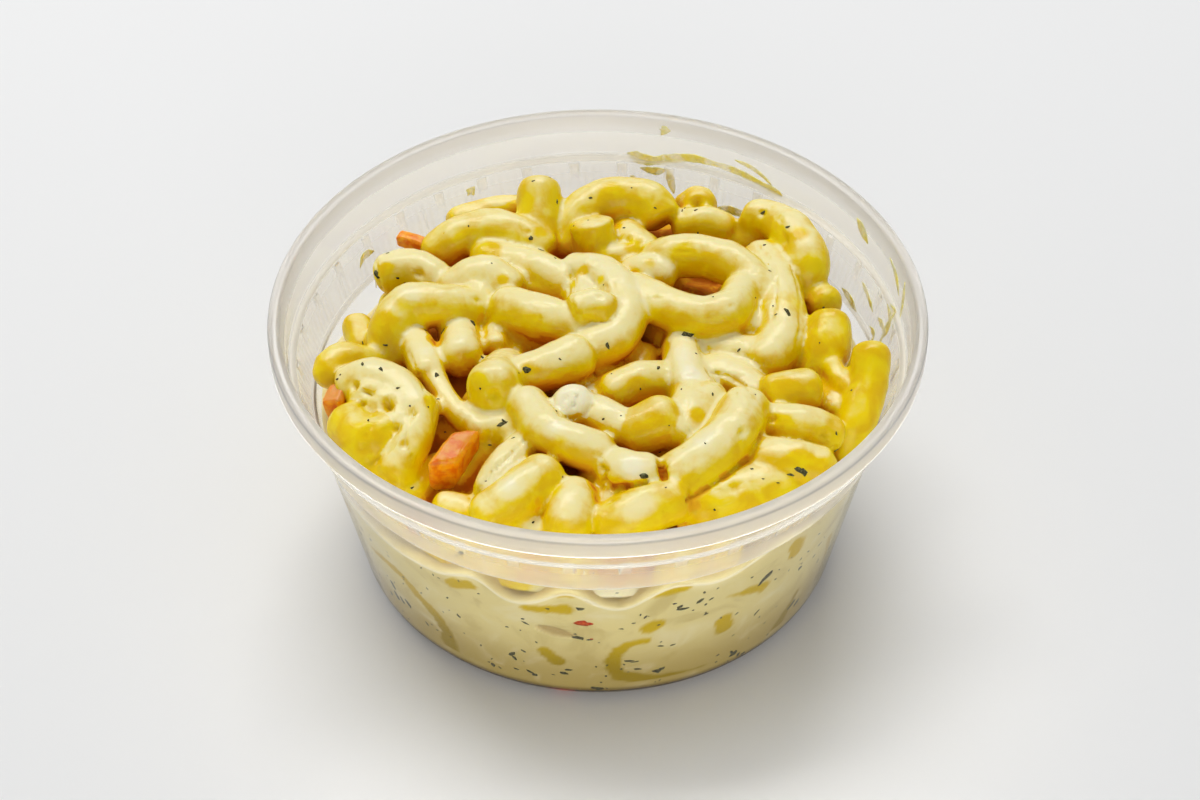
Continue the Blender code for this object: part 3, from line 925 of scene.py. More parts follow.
# Macaroni that shows: radius, how creamy it is, places (x, y, height), and its ends
ELBOWS = {
    "stub_back": Elbow(4.4, 0.40, ((-11.6, 27.0, 41.5), (-11.4, 34.0, 44.0),
        (-11.3, 42.6, 47.0))),
    "crescent_back": Elbow(4.2, 0.42, ((-29.5, 24.8, 41.0), (-26.2, 28.8, 43.2),
        (-20.8, 31.2, 44.2), (-15.0, 29.6, 44.2), (-11.2, 25.8, 42.8))),
    "under_crescent": Elbow(3.6, 0.30, ((-26.0, 33.0, 40.0), (-20.0, 36.0, 40.5),
        (-14.5, 36.5, 40.0))),
    "behind_middle": Elbow(4.2, 0.65, ((-20.5, 22.6, 42.0), (-12.0, 19.4, 43.0),
        (-6.5, 15.0, 42.5))),
    "middle_fill": Elbow(3.6, 0.60, ((-12.0, 14.4, 41.5), (-6.0, 12.4, 41.5))),
    "gap_low": Elbow(3.4, 0.10, ((-17.5, 1.5, 39.6), (-8.0, -1.0, 39.6))),
    "swoosh_fill": Elbow(3.2, 0.70, ((27.0, 8.4, 42.5), (28.4, 3.0, 42.0))),
    "notched_arch": Elbow(4.3, 0.70, ((-26.3, 13.5, 42.0), (-21.5, 17.6, 44.3),
        (-17.0, 14.0, 43.4))),
    "left_arch": Elbow(4.2, 0.48, ((-37.2, -5.0, 38.5), (-37.5, 2.5, 42.5), (-34.8, 8.8, 44.5),
        (-30.0, 9.6, 45.0), (-23.6, 8.6, 43.2))),
    "notched_stem": Elbow(3.6, 0.50, ((-21.8, 17.0, 43.0), (-22.0, 12.0, 43.4),
        (-22.2, 8.6, 43.0))),
    "left_blob": Elbow(4.0, 0.75, ((-38.3, 18.6, 41.5), (-34.5, 20.2, 43.0),
        (-30.3, 16.5, 42.0))),
    "fat_oval": Elbow(4.2, 0.65, ((-16.3, 8.8, 44.0), (-10.4, 6.2, 45.2), (-4.3, 2.6, 44.0))),
    "twist_outer": Elbow(4.2, 0.80, ((-4.0, 18.6, 43.5), (0.8, 17.4, 44.5), (4.1, 12.0, 44.8),
        (4.8, 5.5, 44.8), (2.8, 0.0, 44.2), (-1.5, -2.6, 43.0))),
    "twist_inner": Elbow(3.5, 0.60, ((-3.4, 8.0, 47.4), (-1.4, 9.2, 48.0), (0.8, 8.4, 47.6)),
        start=HOLLOW),
    "twist_fill": Elbow(4.2, 0.75, ((-2.6, 15.5, 42.5), (-2.2, 8.0, 43.0), (0.0, 2.5, 43.2))),
    "twist_link": Elbow(4.1, 0.70, ((-13.0, -9.5, 43.5), (-9.0, -7.5, 44.5), (-4.0, -4.6, 44.5))),
    "back_arch": Elbow(4.2, 0.30, ((-6.2, 26.0, 40.0), (-4.2, 34.2, 43.0), (0.0, 39.4, 44.5),
        (5.0, 41.0, 45.0), (10.0, 39.2, 44.5), (11.8, 34.8, 43.0)), end=BLUNT),
    "back_stub": Elbow(4.3, 0.45, ((-0.4, 24.0, 41.0), (-0.7, 29.0, 44.2), (-1.2, 33.0, 46.6)),
        end=BLUNT),
    "under_arch": Elbow(3.6, 0.45, ((5.0, 30.0, 40.5), (6.4, 27.4, 42.0), (8.2, 25.2, 42.0))),
    "ring_upper": Elbow(4.2, 0.52, ((11.0, 21.8, 43.0), (14.6, 23.6, 44.5), (20.0, 23.4, 45.2),
        (25.4, 20.6, 45.2), (29.0, 15.0, 44.0), (30.4, 8.0, 41.5))),
    "ring_lower": Elbow(3.9, 0.62, ((7.0, 13.3, 44.0), (11.5, 9.6, 45.0), (15.8, 7.2, 45.6),
        (20.3, 6.5, 45.8), (24.2, 8.2, 45.8), (26.3, 13.2, 45.0))),
    "ring_link": Elbow(3.4, 0.85, ((6.5, 18.5, 42.0), (9.5, 19.2, 43.5), (12.0, 17.5, 43.0))),
    "swoosh": Elbow(4.4, 0.62, ((30.5, 22.0, 42.0), (33.0, 15.0, 43.0), (33.6, 7.0, 43.0),
        (33.0, 0.0, 42.5), (30.0, -6.0, 41.5))),
    "slab": Elbow(4.4, 0.68, ((19.5, -2.8, 39.5), (25.8, -4.6, 40.5), (31.5, -5.0, 41.0))),
    "back_eye": Elbow(3.5, 0.30, ((18.5, 41.5, 40.5), (19.3, 38.3, 42.5))),
    "back_eye_front": Elbow(3.6, 0.35, ((16.6, 32.3, 41.5), (20.0, 33.4, 42.5),
        (23.4, 31.4, 41.5))),
    "right_lump": Elbow(3.3, 0.20, ((25.0, 28.2, 39.5), (29.0, 27.8, 39.5))),
    "right_crescent": Elbow(4.1, 0.50, ((31.6, 35.6, 43.5), (35.6, 31.8, 45.0),
        (38.2, 26.6, 45.0), (39.0, 21.0, 44.0), (38.3, 15.5, 41.0))),
    "right_low_blob": Elbow(3.4, 0.05, ((38.5, 13.0, 39.0), (41.3, 10.0, 40.0))),
    "right_stub": Elbow(4.3, 0.05, ((41.8, 3.5, 43.5), (41.2, -2.0, 42.0), (38.8, -8.5, 38.5))),
    "right_upright": Elbow(3.7, 0.04, ((48.8, -4.4, 45.0), (47.2, -15.0, 41.0),
        (44.8, -23.5, 38.0), (42.8, -28.5, 34.5))),
    "right_oval": Elbow(4.1, 0.30, ((31.4, -14.6, 42.6), (36.6, -13.2, 42.8))),
    "right_tube": Elbow(3.8, 0.50, ((30.8, -21.5, 42.5), (35.3, -22.2, 43.2),
        (39.8, -24.4, 41.0)), start=HOLLOW),
    "right_front_oval": Elbow(4.5, 0.50, ((27.0, -31.6, 40.5), (33.0, -31.6, 42.0),
        (37.5, -33.2, 41.0))),
    "big_diagonal": Elbow(4.7, 0.62, ((13.8, -35.0, 42.5), (18.6, -30.5, 44.0),
        (23.2, -24.5, 45.0), (25.7, -18.6, 44.5))),
    "behind_diagonal": Elbow(3.9, 0.55, ((13.0, -25.0, 42.0), (16.5, -20.0, 43.2),
        (19.5, -16.5, 42.5))),
    "groove_stub": Elbow(4.0, 0.70, ((16.5, -15.2, 42.0), (16.0, -19.5, 43.6),
        (14.6, -24.6, 43.2))),
    "knob": Elbow(4.1, 1.5, ((-4.4, -20.0, 39.0), (-4.3, -17.4, 45.0))),
    "ring_gap": Elbow(2.8, 0.55, ((1.0, 22.5, 42.0), (6.0, 23.5, 42.5))),
    "saddle": Elbow(3.9, 0.85, ((-3.6, -17.8, 42.6), (0.4, -20.4, 43.0), (5.0, -23.6, 43.0))),
    "lobe": Elbow(4.6, 0.34, ((6.8, -24.2, 42.8), (11.2, -21.2, 44.4))),
    "centre_crescent": Elbow(3.9, 0.75, ((-12.4, -17.5, 43.5), (-9.0, -23.4, 44.5),
        (-4.5, -26.8, 44.6), (-0.2, -29.0, 43.5))),
    "flat_elbow": Elbow(4.4, 0.50, ((3.5, -14.2, 40.5), (7.0, -11.8, 41.5), (11.0, -11.5, 40.5))),
    "cone": Elbow(3.5, 1.0, ((15.0, 1.0, 39.0), (15.2, -6.0, 41.8), (16.0, -12.0, 42.8)),
        start=THIN),
    "cone_base": Elbow(4.7, 0.95, ((15.4, -9.0, 40.8), (17.0, -14.5, 41.4))),
    "sauced_elbow": Elbow(4.2, 0.75, ((20.0, -10.0, 39.5), (24.4, -11.5, 40.3),
        (28.2, -15.5, 40.5))),
    "dimpled_stub": Elbow(4.8, 0.60, ((-16.2, -8.8, 41.0), (-17.4, -10.8, 43.0),
        (-18.4, -12.4, 45.0))),
    "drop": Elbow(4.1, 0.85, ((-24.9, 1.5, 40.5), (-24.6, -2.0, 42.0), (-24.4, -4.2, 42.4))),
    "sliver": Elbow(2.6, 0.70, ((-18.7, 3.5, 40.5), (-18.3, -1.8, 41.5))),
    "long_diagonal": Elbow(3.2, 0.80, ((-33.5, 1.2, 41.0), (-31.6, -4.0, 42.0),
        (-30.2, -8.6, 42.2))),
    "hanging_strand": Elbow(2.4, 0.70, ((-30.0, -7.5, 42.4), (-26.5, -15.7, 42.0),
        (-23.9, -19.5, 41.4), (-20.0, -23.4, 41.0))),
    "pitted_upper": Elbow(3.9, 0.75, ((-44.0, -12.3, 41.5), (-39.7, -10.2, 43.8),
        (-35.0, -13.0, 44.2), (-32.0, -18.5, 43.5)), start=HOLLOW),
    "pitted_lower": Elbow(3.7, 0.60, ((-31.4, -18.0, 43.2), (-31.8, -25.0, 42.5),
        (-34.2, -33.0, 39.5))),
    "pitted_inner": Elbow(4.4, 0.10, ((-42.6, -22.5, 40.5), (-40.0, -26.0, 41.5),
        (-36.3, -24.5, 41.5))),
    "pitted_fill": Elbow(4.4, 0.62, ((-40.0, -15.5, 42.0), (-36.0, -18.0, 42.6),
        (-33.6, -23.0, 42.0))),
    "left_low": Elbow(3.4, 0.20, ((-48.0, -8.5, 41.0), (-45.3, -5.6, 41.3), (-42.0, -6.2, 40.5),
        (-39.5, -7.0, 38.5))),
    "front_pale": Elbow(3.5, 0.85, ((-12.8, -28.4, 40.5), (-15.6, -32.6, 41.5),
        (-17.6, -38.0, 40.0))),
    "front_fat": Elbow(4.3, 0.45, ((-9.3, -35.0, 42.5), (-13.3, -39.2, 42.5),
        (-18.0, -44.0, 40.5))),
    "front_stub": Elbow(4.3, 0.70, ((-4.0, -40.6, 40.0), (-4.4, -43.0, 41.0),
        (-5.0, -46.0, 40.5))),
    "front_low": Elbow(3.6, 0.60, ((-14.0, -47.0, 37.0), (-6.0, -49.0, 37.5))),
    "cream_stub": Elbow(3.7, 0.90, ((3.0, -33.0, 42.5), (5.5, -33.8, 43.8), (8.0, -34.0, 43.8))),
    "bright_front": Elbow(4.3, 0.26, ((12.6, -40.6, 41.5), (8.0, -42.6, 41.5),
        (2.5, -46.5, 39.5))),
    "front_gap": Elbow(3.4, 0.55, ((1.5, -39.0, 38.5), (3.0, -43.0, 39.0))),
    "right_front_low": Elbow(5.0, 0.40, ((17.5, -42.0, 38.5), (24.0, -39.0, 39.5),
        (31.0, -36.5, 39.0))),
    "left_front_low": Elbow(3.8, 0.30, ((-39.0, -31.0, 38.0), (-33.5, -36.5, 37.0))),
    "front_left_low": Elbow(3.4, 0.45, ((-25.5, -42.6, 37.0), (-21.0, -44.4, 36.5))),
    "behind_upright": Elbow(2.2, 0.20, ((41.2, -4.2, 41.5), (42.0, -8.4, 42.0),
        (43.6, -12.6, 41.5))),
    "right_gap": Elbow(3.0, 0.40, ((40.5, -14.0, 38.5), (41.5, -18.5, 39.0))),
    "left_behind_leg": Elbow(3.0, 0.30, ((-43.5, 3.5, 38.0), (-41.5, -2.5, 38.0))),
    "under_strip": Elbow(3.6, 0.30, ((-37.0, 20.5, 36.0), (-29.0, 24.5, 36.0))),
    "centre_low": Elbow(3.6, 0.60, ((-20.5, -21.5, 39.5), (-15.5, -24.0, 40.0),
        (-12.0, -27.5, 38.5))),
}


# Dimples in the dressing, where they are seen: across, down, radius and depth in mm
DIMPLES = [
    (697, 204, 2.0, 1.5), (571, 470, 1.8, 2.2),
    (493, 396, 1.5, 1.0), (354, 386, 1.3, 1.6), (369, 391, 1.4, 1.5), (387, 405, 1.7, 2.0),
    (412, 413, 1.4, 1.2),
    (397, 428, 1.2, 1.0), (362, 404, 1.0, 0.9), (404, 445, 1.1, 0.7), (419, 274, 1.3, 0.7),
    (572, 275, 1.2, 0.8), (601, 297, 1.0, 0.5), (566, 398, 0.6, 0.7), (574, 405, 0.6, 0.7),
    (577, 396, 0.55, 0.6), (742, 433, 1.2, 0.6), (773, 419, 1.2, 1.0), (825, 434, 1.2, 0.8),
    (762, 213, 1.0, 0.7), (735, 487, 1.6, 0.8),
    (722, 492, 1.0, 0.5), (756, 483, 0.8, 0.5), (601, 419, 0.5, 0.4), (527, 232, 0.9, 0.4),
    (451, 300, 0.8, 0.4), (640, 251, 1.1, 0.7), (628, 240, 1.0, 0.6), (479, 300, 1.0, 0.6),
    (708, 275, 0.7, 0.4), (731, 306, 0.7, 0.3), (835, 448, 1.0, 0.8), (540, 318, 0.9, 0.3),
    (655, 297, 0.7, 0.3), (553, 447, 0.8, 0.3), (786, 240, 1.2, 0.6), (612, 500, 1.0, 0.6),
]


# Creases in the dressing, where they are seen: half width and depth in mm, then (across, down)
CREASES = [
    (0.45, 0.45, [(757, 243), (772, 262), (778, 290), (772, 318)]),
    (0.40, 0.40, [(790, 262), (799, 290), (800, 325), (796, 352)]),
    (0.50, 0.40, [(708, 372), (728, 376), (748, 388), (760, 402)]),
    (0.40, 0.35, [(714, 384), (732, 390), (744, 402)]),
    (0.35, 0.35, [(735, 352), (757, 362), (776, 366)]),
    (0.75, 0.90, [(601, 466), (604, 480), (614, 487), (630, 486), (646, 482)]),
    (0.50, 0.35, [(553, 392), (553, 405), (560, 415), (572, 419), (585, 415), (592, 405)]),
    (0.45, 0.40, [(373, 419), (366, 436), (368, 460)]),
    (0.45, 0.45, [(394, 445), (384, 456), (368, 463)]),
    (0.80, 1.60, [(661, 462), (664, 478)]),
    (0.35, 0.35, [(572, 262), (568, 285), (575, 312), (590, 322), (612, 322), (622, 306)]),
    (0.35, 0.30, [(575, 288), (592, 282), (612, 284), (622, 296)]),
    (0.40, 0.40, [(524, 440), (510, 455), (492, 470), (478, 490)]),
    (0.35, 0.35, [(516, 448), (505, 462), (494, 468)]),
    (0.35, 0.30, [(500, 440), (486, 458), (476, 478)]),
    (0.45, 0.45, [(376, 262), (377, 275), (381, 288)]),
    (0.40, 0.40, [(533, 392), (541, 402), (546, 410)]),
    (0.45, 0.35, [(688, 400), (684, 418), (690, 434)]),
    (0.35, 0.30, [(600, 455), (608, 470), (602, 488)]),
    (0.35, 0.40, [(408, 350), (420, 380), (432, 410), (436, 440), (430, 470)]),
    (0.35, 0.35, [(350, 412), (366, 408), (380, 420), (392, 438)]),
    (0.40, 0.45, [(410, 418), (404, 440), (412, 458), (424, 462)]),
    (0.35, 0.35, [(683, 240), (686, 255), (684, 268)]),
    (0.35, 0.30, [(768, 205), (780, 218), (784, 236)]),
    (0.70, 0.80, [(763, 432), (750, 457), (726, 475), (702, 490), (687, 500)]),
]


# Where the pasta shows bare (+) or the dressing is thick (-): across, down, radius in mm, how much
BARE = [
    (523, 205, 3.2, 0.5), (540, 232, 2.0, 0.4), (488, 250, 3.6, 0.9), (466, 240, 3.0, 0.4),
    (612, 192, 3.0, 0.5), (662, 220, 3.6, 0.9), (592, 248, 4.0, 0.9), (590, 222, 2.5, -0.3),
    (632, 245, 2.6, 0.5),
    (684, 250, 3.6, 0.3), (706, 262, 2.6, 0.4), (650, 262, 2.0, 0.4), (775, 236, 3.0, 0.7),
    (800, 232, 2.4, 0.5), (812, 262, 2.6, 0.4), (783, 385, 2.6, 0.7), (818, 390, 2.4, 0.8),
    (783, 424, 2.4, 0.8), (826, 440, 2.4, 0.4), (800, 462, 3.6, 0.8), (822, 470, 3.0, 0.8),
    (707, 508, 3.4, 0.5), (690, 488, 3.2, 0.6), (741, 447, 1.4, 0.7), (618, 486, 2.4, 0.5),
    (552, 486, 3.2, 0.5), (492, 396, 3.0, 0.6), (478, 380, 2.4, 0.5), (528, 372, 2.6, 0.4),
    (583, 270, 1.5, 0.8), (601, 279, 1.2, 0.7), (574, 284, 1.2, 0.6), (603, 314, 2.0, 0.5),
    (530, 325, 3.2, 0.4), (503, 279, 1.7, 0.6), (386, 320, 3.0, 0.4), (386, 268, 1.8, 0.7),
    (640, 390, 3.2, 0.8), (655, 436, 4.0, 0.5), (697, 414, 2.4, 0.6), (560, 437, 2.0, 0.3),
    (512, 318, 1.6, 0.4), (362, 436, 4.0, 0.4), (428, 400, 1.8, 0.5), (404, 302, 2.4, 0.3),
    (642, 510, 4.0, -0.35), (625, 518, 3.0, -0.2), (510, 486, 3.2, -0.4), (700, 440, 4.0, -0.3),
    (440, 545, 5.0, 0.9), (462, 556, 5.0, 0.9), (505, 576, 5.0, 0.9), (530, 582, 5.0, 0.9),
    (573, 397, 3.6, -0.5), (690, 372, 3.0, -0.3), (790, 300, 4.5, 0.25), (410, 295, 3.0, -0.35),
    (555, 430, 3.0, -0.25), (632, 470, 3.0, -0.5),
]


# Deep folds that the light hardly reaches: across, down, radius in mm, how dark
FOLDS = [
    (690, 503, 3.2, 0.50), (704, 491, 2.4, 0.45), (724, 477, 2.2, 0.40), (746, 460, 2.2, 0.35),
    (760, 438, 1.8, 0.30), (700, 509, 4.0, 0.25), (716, 502, 3.4, 0.20), (432, 341, 2.6, 0.5),
    (661, 471, 1.5, 0.6),
    (628, 488, 1.6, 0.5), (614, 486, 1.3, 0.4), (545, 341, 3.0, 0.3), (592, 486, 1.8, 0.4),
    (596, 500, 1.6, 0.4), (536, 500, 1.4, 0.35), (488, 257, 2.2, 0.3), (556, 262, 1.8, 0.3),
]


@dataclass
class MacaroniHeap:
    """The heap of dressed elbows, fused into one skin by the dressing."""

    voxel: float = 0.42
    fillet: float = 0.09
    underside: float = 30.6
    triangles: int = 190000
    core_profile: tuple = ((0.0, 38.0), (16.0, 38.0), (30.0, 37.0), (40.0, 34.6), (46.0, 32.2),
                           (48.2, 30.8), (47.5, 27.0), (0.0, 27.0))
    core_merge: float = 0.01
    core_rough_from: float = 29.0
    core_lump: float = 0.9
    core_lump_size: float = 7.0
    filler_count: int = 46
    filler_reach: float = 44.5
    filler_level: float = 38.8
    filler_fall: float = 5.6
    filler_half: float = 5.5
    filler_radius: float = 3.7
    seed: int = 7
    swell: float = 0.45
    elbow_sides: int = 20
    bare_sides: int = 14
    coat_depth: float = 0.35
    lump: float = 0.16
    lump_size: float = 2.9
    grain: float = 0.07
    grain_size: float = 1.3
    coat_by_depth: float = 0.15
    coat_by_elbow: float = 0.5
    # More cream on upward faces: partly dressing lying there, partly painted light from above
    cream_and_light_on_top: float = 0.62
    coat_less: float = 0.30
    coat_less_deep: float = 0.6
    # Painted shade on pieces low in the heap, away from the wall
    shade_low_in_heap: float = 0.22
    # Painted shade on the skin close to the wall below the band
    shade_at_wall: float = 0.2
    wall_gap: float = 0.05
    # Rays that measure how hidden each vertex is, for the painted shade in the gaps
    ray_count: int = 14
    ray_lift: float = 0.15
    ray_reach: float = 9.0
    finish: DressedPastaFinish = field(default_factory=DressedPastaFinish)
    piece: bpy.types.Object | None = None

    def core_mesh(self) -> bpy.types.Mesh:
        """Turn the body of salad below the elbows that show.

        Returns:
            Its closed mesh.
        """
        form = turned(self.core_profile, 96, self.core_merge)
        bmesh.ops.subdivide_edges(form, edges=form.edges, cuts=1, use_grid_fill=True)
        bmesh.ops.recalc_face_normals(form, faces=form.faces)
        for corner in form.verts:
            if corner.co.z > self.core_rough_from * MM:
                lump = noise.noise(corner.co / (self.core_lump_size * MM))
                corner.co.z += self.core_lump * MM * lump
        return as_mesh(form, "core")

    def fillers(self) -> list[Elbow]:
        """Scatter elbows under the ones that show, where only gaps let them be seen.

        Returns:
            The elbows.
        """
        chance = random.Random(self.seed)
        made = []
        for number in range(self.filler_count):
            reach = self.filler_reach * math.sqrt((number + 0.5) / self.filler_count)
            around = number * EVEN_TURN + chance.uniform(-0.3, 0.3)
            fall = self.filler_fall * (reach / self.filler_reach) ** 2
            level = self.filler_level - fall + chance.uniform(-1.0, 0.8)
            middle = Vector((reach * math.cos(around), reach * math.sin(around), level))
            heading = chance.uniform(0.0, math.tau)
            along = Vector((math.cos(heading), math.sin(heading), 0.0))
            side = Vector((-along.y, along.x, chance.uniform(-0.4, 0.4)))
            bow = chance.uniform(1.5, 3.0)
            half = along * self.filler_half
            seen = tuple(seen_on_level(place)
                         for place in (middle - half, middle + side * bow, middle + half))
            made.append(Elbow(self.filler_radius, chance.uniform(0.3, 0.9), seen))
        return made

    def build(self) -> bpy.types.Object:
        """Build the skin.

        Returns:
            The heap, as one closed piece.
        """
        elbows = [*ELBOWS.values(), *self.fillers()]
        solids = [sweep(elbow.stations(0.0, self.swell, number), self.elbow_sides)
                  for number, elbow in enumerate(elbows)]
        solids.append(self.core_mesh())
        self.piece = new_piece("dressed_macaroni", join_meshes("dressed_macaroni", solids))
        for reach in (self.fillet, -self.fillet):
            self.remesh()
            swell = self.piece.modifiers.new("swell", "DISPLACE")
            swell.strength = reach * MM
            swell.mid_level = 0.0
            apply_modifiers(self.piece)
        self.smooth_and_trim()
        self.thin_out()
        self.roughen()
        self.paint(elbows)
        return self.piece

    def remesh(self) -> None:
        """Fuse what overlaps into one even skin."""
        fuse = self.piece.modifiers.new("fuse", "REMESH")
        fuse.mode = "VOXEL"
        fuse.voxel_size = self.voxel * MM

    def smooth_and_trim(self) -> None:
        """Smooth the skin, keep it inside the tub, and cut off its hidden underside."""
        form = bmesh.new()
        form.from_mesh(self.piece.data)
        smooth_out(form, 2)
        cut = bmesh.ops.bisect_plane(form, geom=[*form.verts, *form.edges, *form.faces],
                                     dist=0.001 * MM, plane_co=(0.0, 0.0, self.underside * MM),
                                     plane_no=(0.0, 0.0, -1.0), clear_outer=True)
        rim = [part for part in cut["geom_cut"] if isinstance(part, bmesh.types.BMEdge)]
        bmesh.ops.holes_fill(form, edges=rim, sides=0)
        keep_largest(form)
        form.to_mesh(self.piece.data)
        form.free()
        places, _ = mesh_arrays(self.piece.data)
        reach = np.hypot(places[:, 0], places[:, 1])
        free = wall_radii(places[:, 2]) - self.wall_gap
        share = np.minimum(1.0, free / np.maximum(reach, 0.001))
        places[:, 0] *= share
        places[:, 1] *= share
        set_places(self.piece.data, places)

    def roughen(self) -> None:
        """Give the skin the small lumps of thick dressing, and press in the dimples."""
        mesh = self.piece.data
        places, normals = mesh_arrays(mesh)
        skin = skin_tree(mesh)
        push = np.zeros(len(places))
        apart = Vector((9.0, 0.0, 0.0))
        for index, place in enumerate(places):
            spot = Vector(place)
            push[index] = (self.lump * noise.noise(spot / self.lump_size)
                           + self.grain * noise.noise(spot / self.grain_size + apart))
        marks = [(radius, depth, [(u, v)]) for u, v, radius, depth in DIMPLES]
        for radius, depth, seen in [*marks, *CREASES]:
            pressed = np.zeros(len(places))
            for u, v in finer(seen):
                hit = skin.ray_cast(EYE * MM, sight(u, v))[0]
                if hit is not None:
                    pressed = np.maximum(pressed, near_share(places, hit / MM, radius))
            push -= depth * pressed
        set_places(mesh, places + normals * push[:, None])

    def thin_out(self) -> None:
        """Merge the smallest faces until the skin is light enough."""
        count = triangle_count(self.piece.data)
        if count > self.triangles:
            thin = self.piece.modifiers.new("thin", "DECIMATE")
            thin.ratio = self.triangles / count
            apply_modifiers(self.piece)

    def paint(self, elbows: list[Elbow]) -> None:
        """Measure the dressing's thickness and the gaps' depth at each vertex, for cream and
        painted shade.

        Args:
            elbows: The elbows under the dressing.
        """
        corners, faces, owner = [], [], []
        for number, elbow in enumerate(elbows):
            bare = sweep(elbow.stations(self.coat_depth, self.swell, number), self.bare_sides)
            first = len(corners)
            corners.extend(vertex.co.copy() for vertex in bare.vertices)
            faces.extend([first + index for index in face.vertices] for face in bare.polygons)
            owner.extend([elbow.coat] * len(bare.polygons))
            bpy.data.meshes.remove(bare)
        pasta = BVHTree.FromPolygons(corners, faces)
        places, normals = mesh_arrays(self.piece.data)
        mesh = self.piece.data
        skin = skin_tree(mesh)
        coat, gap_shade = np.zeros(len(places)), np.zeros(len(places))
        # Painted shade: the share of rays that the skin itself blocks
        rays = hemisphere(self.ray_count)
        for index, (place, normal) in enumerate(zip(places, normals)):
            spot = Vector(place) * MM
            _, _, face, distance = pasta.find_nearest(spot)
            creamy = owner[face] if face is not None else 1.0
            coat[index] = ((distance / MM - self.coat_depth) * self.coat_by_depth
                           + creamy * self.coat_by_elbow)
            facing = Vector(normal)
            lift = spot + facing * self.ray_lift * MM
            turn = Vector((0.0, 0.0, 1.0)).rotation_difference(facing)
            blocked = [ray for ray in rays
                       if skin.ray_cast(lift, turn @ ray, self.ray_reach * MM)[0] is not None]
            gap_shade[index] = len(blocked) / len(rays)
        upward = np.clip(normals[:, 2], 0.0, 1.0)
        reach = np.hypot(places[:, 0], places[:, 1])
        beside = wall_radii(places[:, 2]) - reach
        # Painted shade where the skin nears the wall below the band
        near_wall = 1.0 - soft_step(beside, 0.5, 3.5)
        gap_shade += self.shade_at_wall * near_wall * (1.0 - soft_step(places[:, 2], 33.0, 37.0))
        # Low pieces away from the wall: less cream and painted shade
        deep = (1.0 - soft_step(places[:, 2], 36.0, 40.5)) * soft_step(beside, 3.0, 9.0)
        add_marks(coat, places, skin, BARE, -1.0)
        # Upward faces: dressing lying on top and painted light; low pieces lose cream
        coat += self.cream_and_light_on_top * upward ** 2 - self.coat_less - self.coat_less_deep * deep
        gap_shade += self.shade_low_in_heap * deep
        # Painted shade in the listed deep folds
        add_marks(gap_shade, places, skin, FOLDS, 1.0)
        # coat is the dressing's thickness with painted light on upward faces; the other value is
        # painted shade
        set_values(mesh, "coat", np.clip(coat, 0.0, 1.5))
        set_values(mesh, "gap_shade", gap_shade)

    def dress(self) -> None:
        """Give the heap its finish."""
        dress(self.piece, self.finish.make(), ("macaroni_salad",))


def finer(seen: list[tuple]) -> list[tuple]:
    """Add points to a line in the picture, about two pixels apart.

    Args:
        seen: (across, down) along the line.

    Returns:
        The line with the points between.
    """
    line = [seen[0]]
    for start, end in zip(seen, seen[1:]):
        count = max(1, round(math.dist(start, end) / 2.0))
        line += [(start[0] + (end[0] - start[0]) * step / count,
                  start[1] + (end[1] - start[1]) * step / count)
                 for step in range(1, count + 1)]
    return line


def hemisphere(count: int) -> list[Vector]:
    """Spread directions over the half of a sphere round +Z, densest towards +Z.

    Args:
        count: How many directions.

    Returns:
        Unit vectors.
    """
    rays = []
    for number in range(count):
        rise = math.sqrt(1.0 - (number + 0.5) / count)
        around = number * EVEN_TURN
        flat = math.sqrt(1.0 - rise * rise)
        rays.append(Vector((flat * math.cos(around), flat * math.sin(around), rise)))
    return rays


def keep_largest(form: bmesh.types.BMesh) -> None:
    """Drop every loose scrap and sealed hollow: only the largest skin stays.

    Args:
        form: The form, which is changed.
    """
    unseen = set(form.verts)
    skins = []
    while unseen:
        skin = {unseen.pop()}
        front = list(skin)
        while front:
            point = front.pop()
            near = {edge.other_vert(point) for edge in point.link_edges} & unseen
            unseen -= near
            skin |= near
            front.extend(near)
        skins.append(skin)
    skins.sort(key=len)
    for skin in skins[:-1]:
        bmesh.ops.delete(form, geom=list(skin), context="VERTS")


# Where the dressing ends on the wall, from the camera's view round: angle in degrees and height
CONTACT_LINE = [(-180.0, 33.0), (-160.0, 31.5), (-146.0, 30.5), (-135.0, 29.9), (-122.7, 30.6),
                (-116.5, 33.6), (-113.4, 34.5), (-109.4, 29.7), (-106.0, 29.2), (-100.9, 31.2),
                (-97.5, 34.6), (-94.5, 35.0), (-91.3, 31.8), (-87.3, 29.6), (-83.6, 29.8),
                (-79.7, 33.2), (-76.0, 35.4), (-72.9, 34.9), (-68.0, 33.0), (-63.8, 33.1),
                (-53.0, 37.4), (-40.0, 36.8), (-25.0, 35.4), (-10.0, 33.5), (8.0, 31.5),
                (25.0, 33.0), (45.0, 36.0), (62.0, 34.0), (80.0, 35.8), (98.0, 33.0),
                (115.0, 35.0), (135.0, 33.0), (150.0, 30.8), (165.0, 33.6), (180.0, 33.0)]

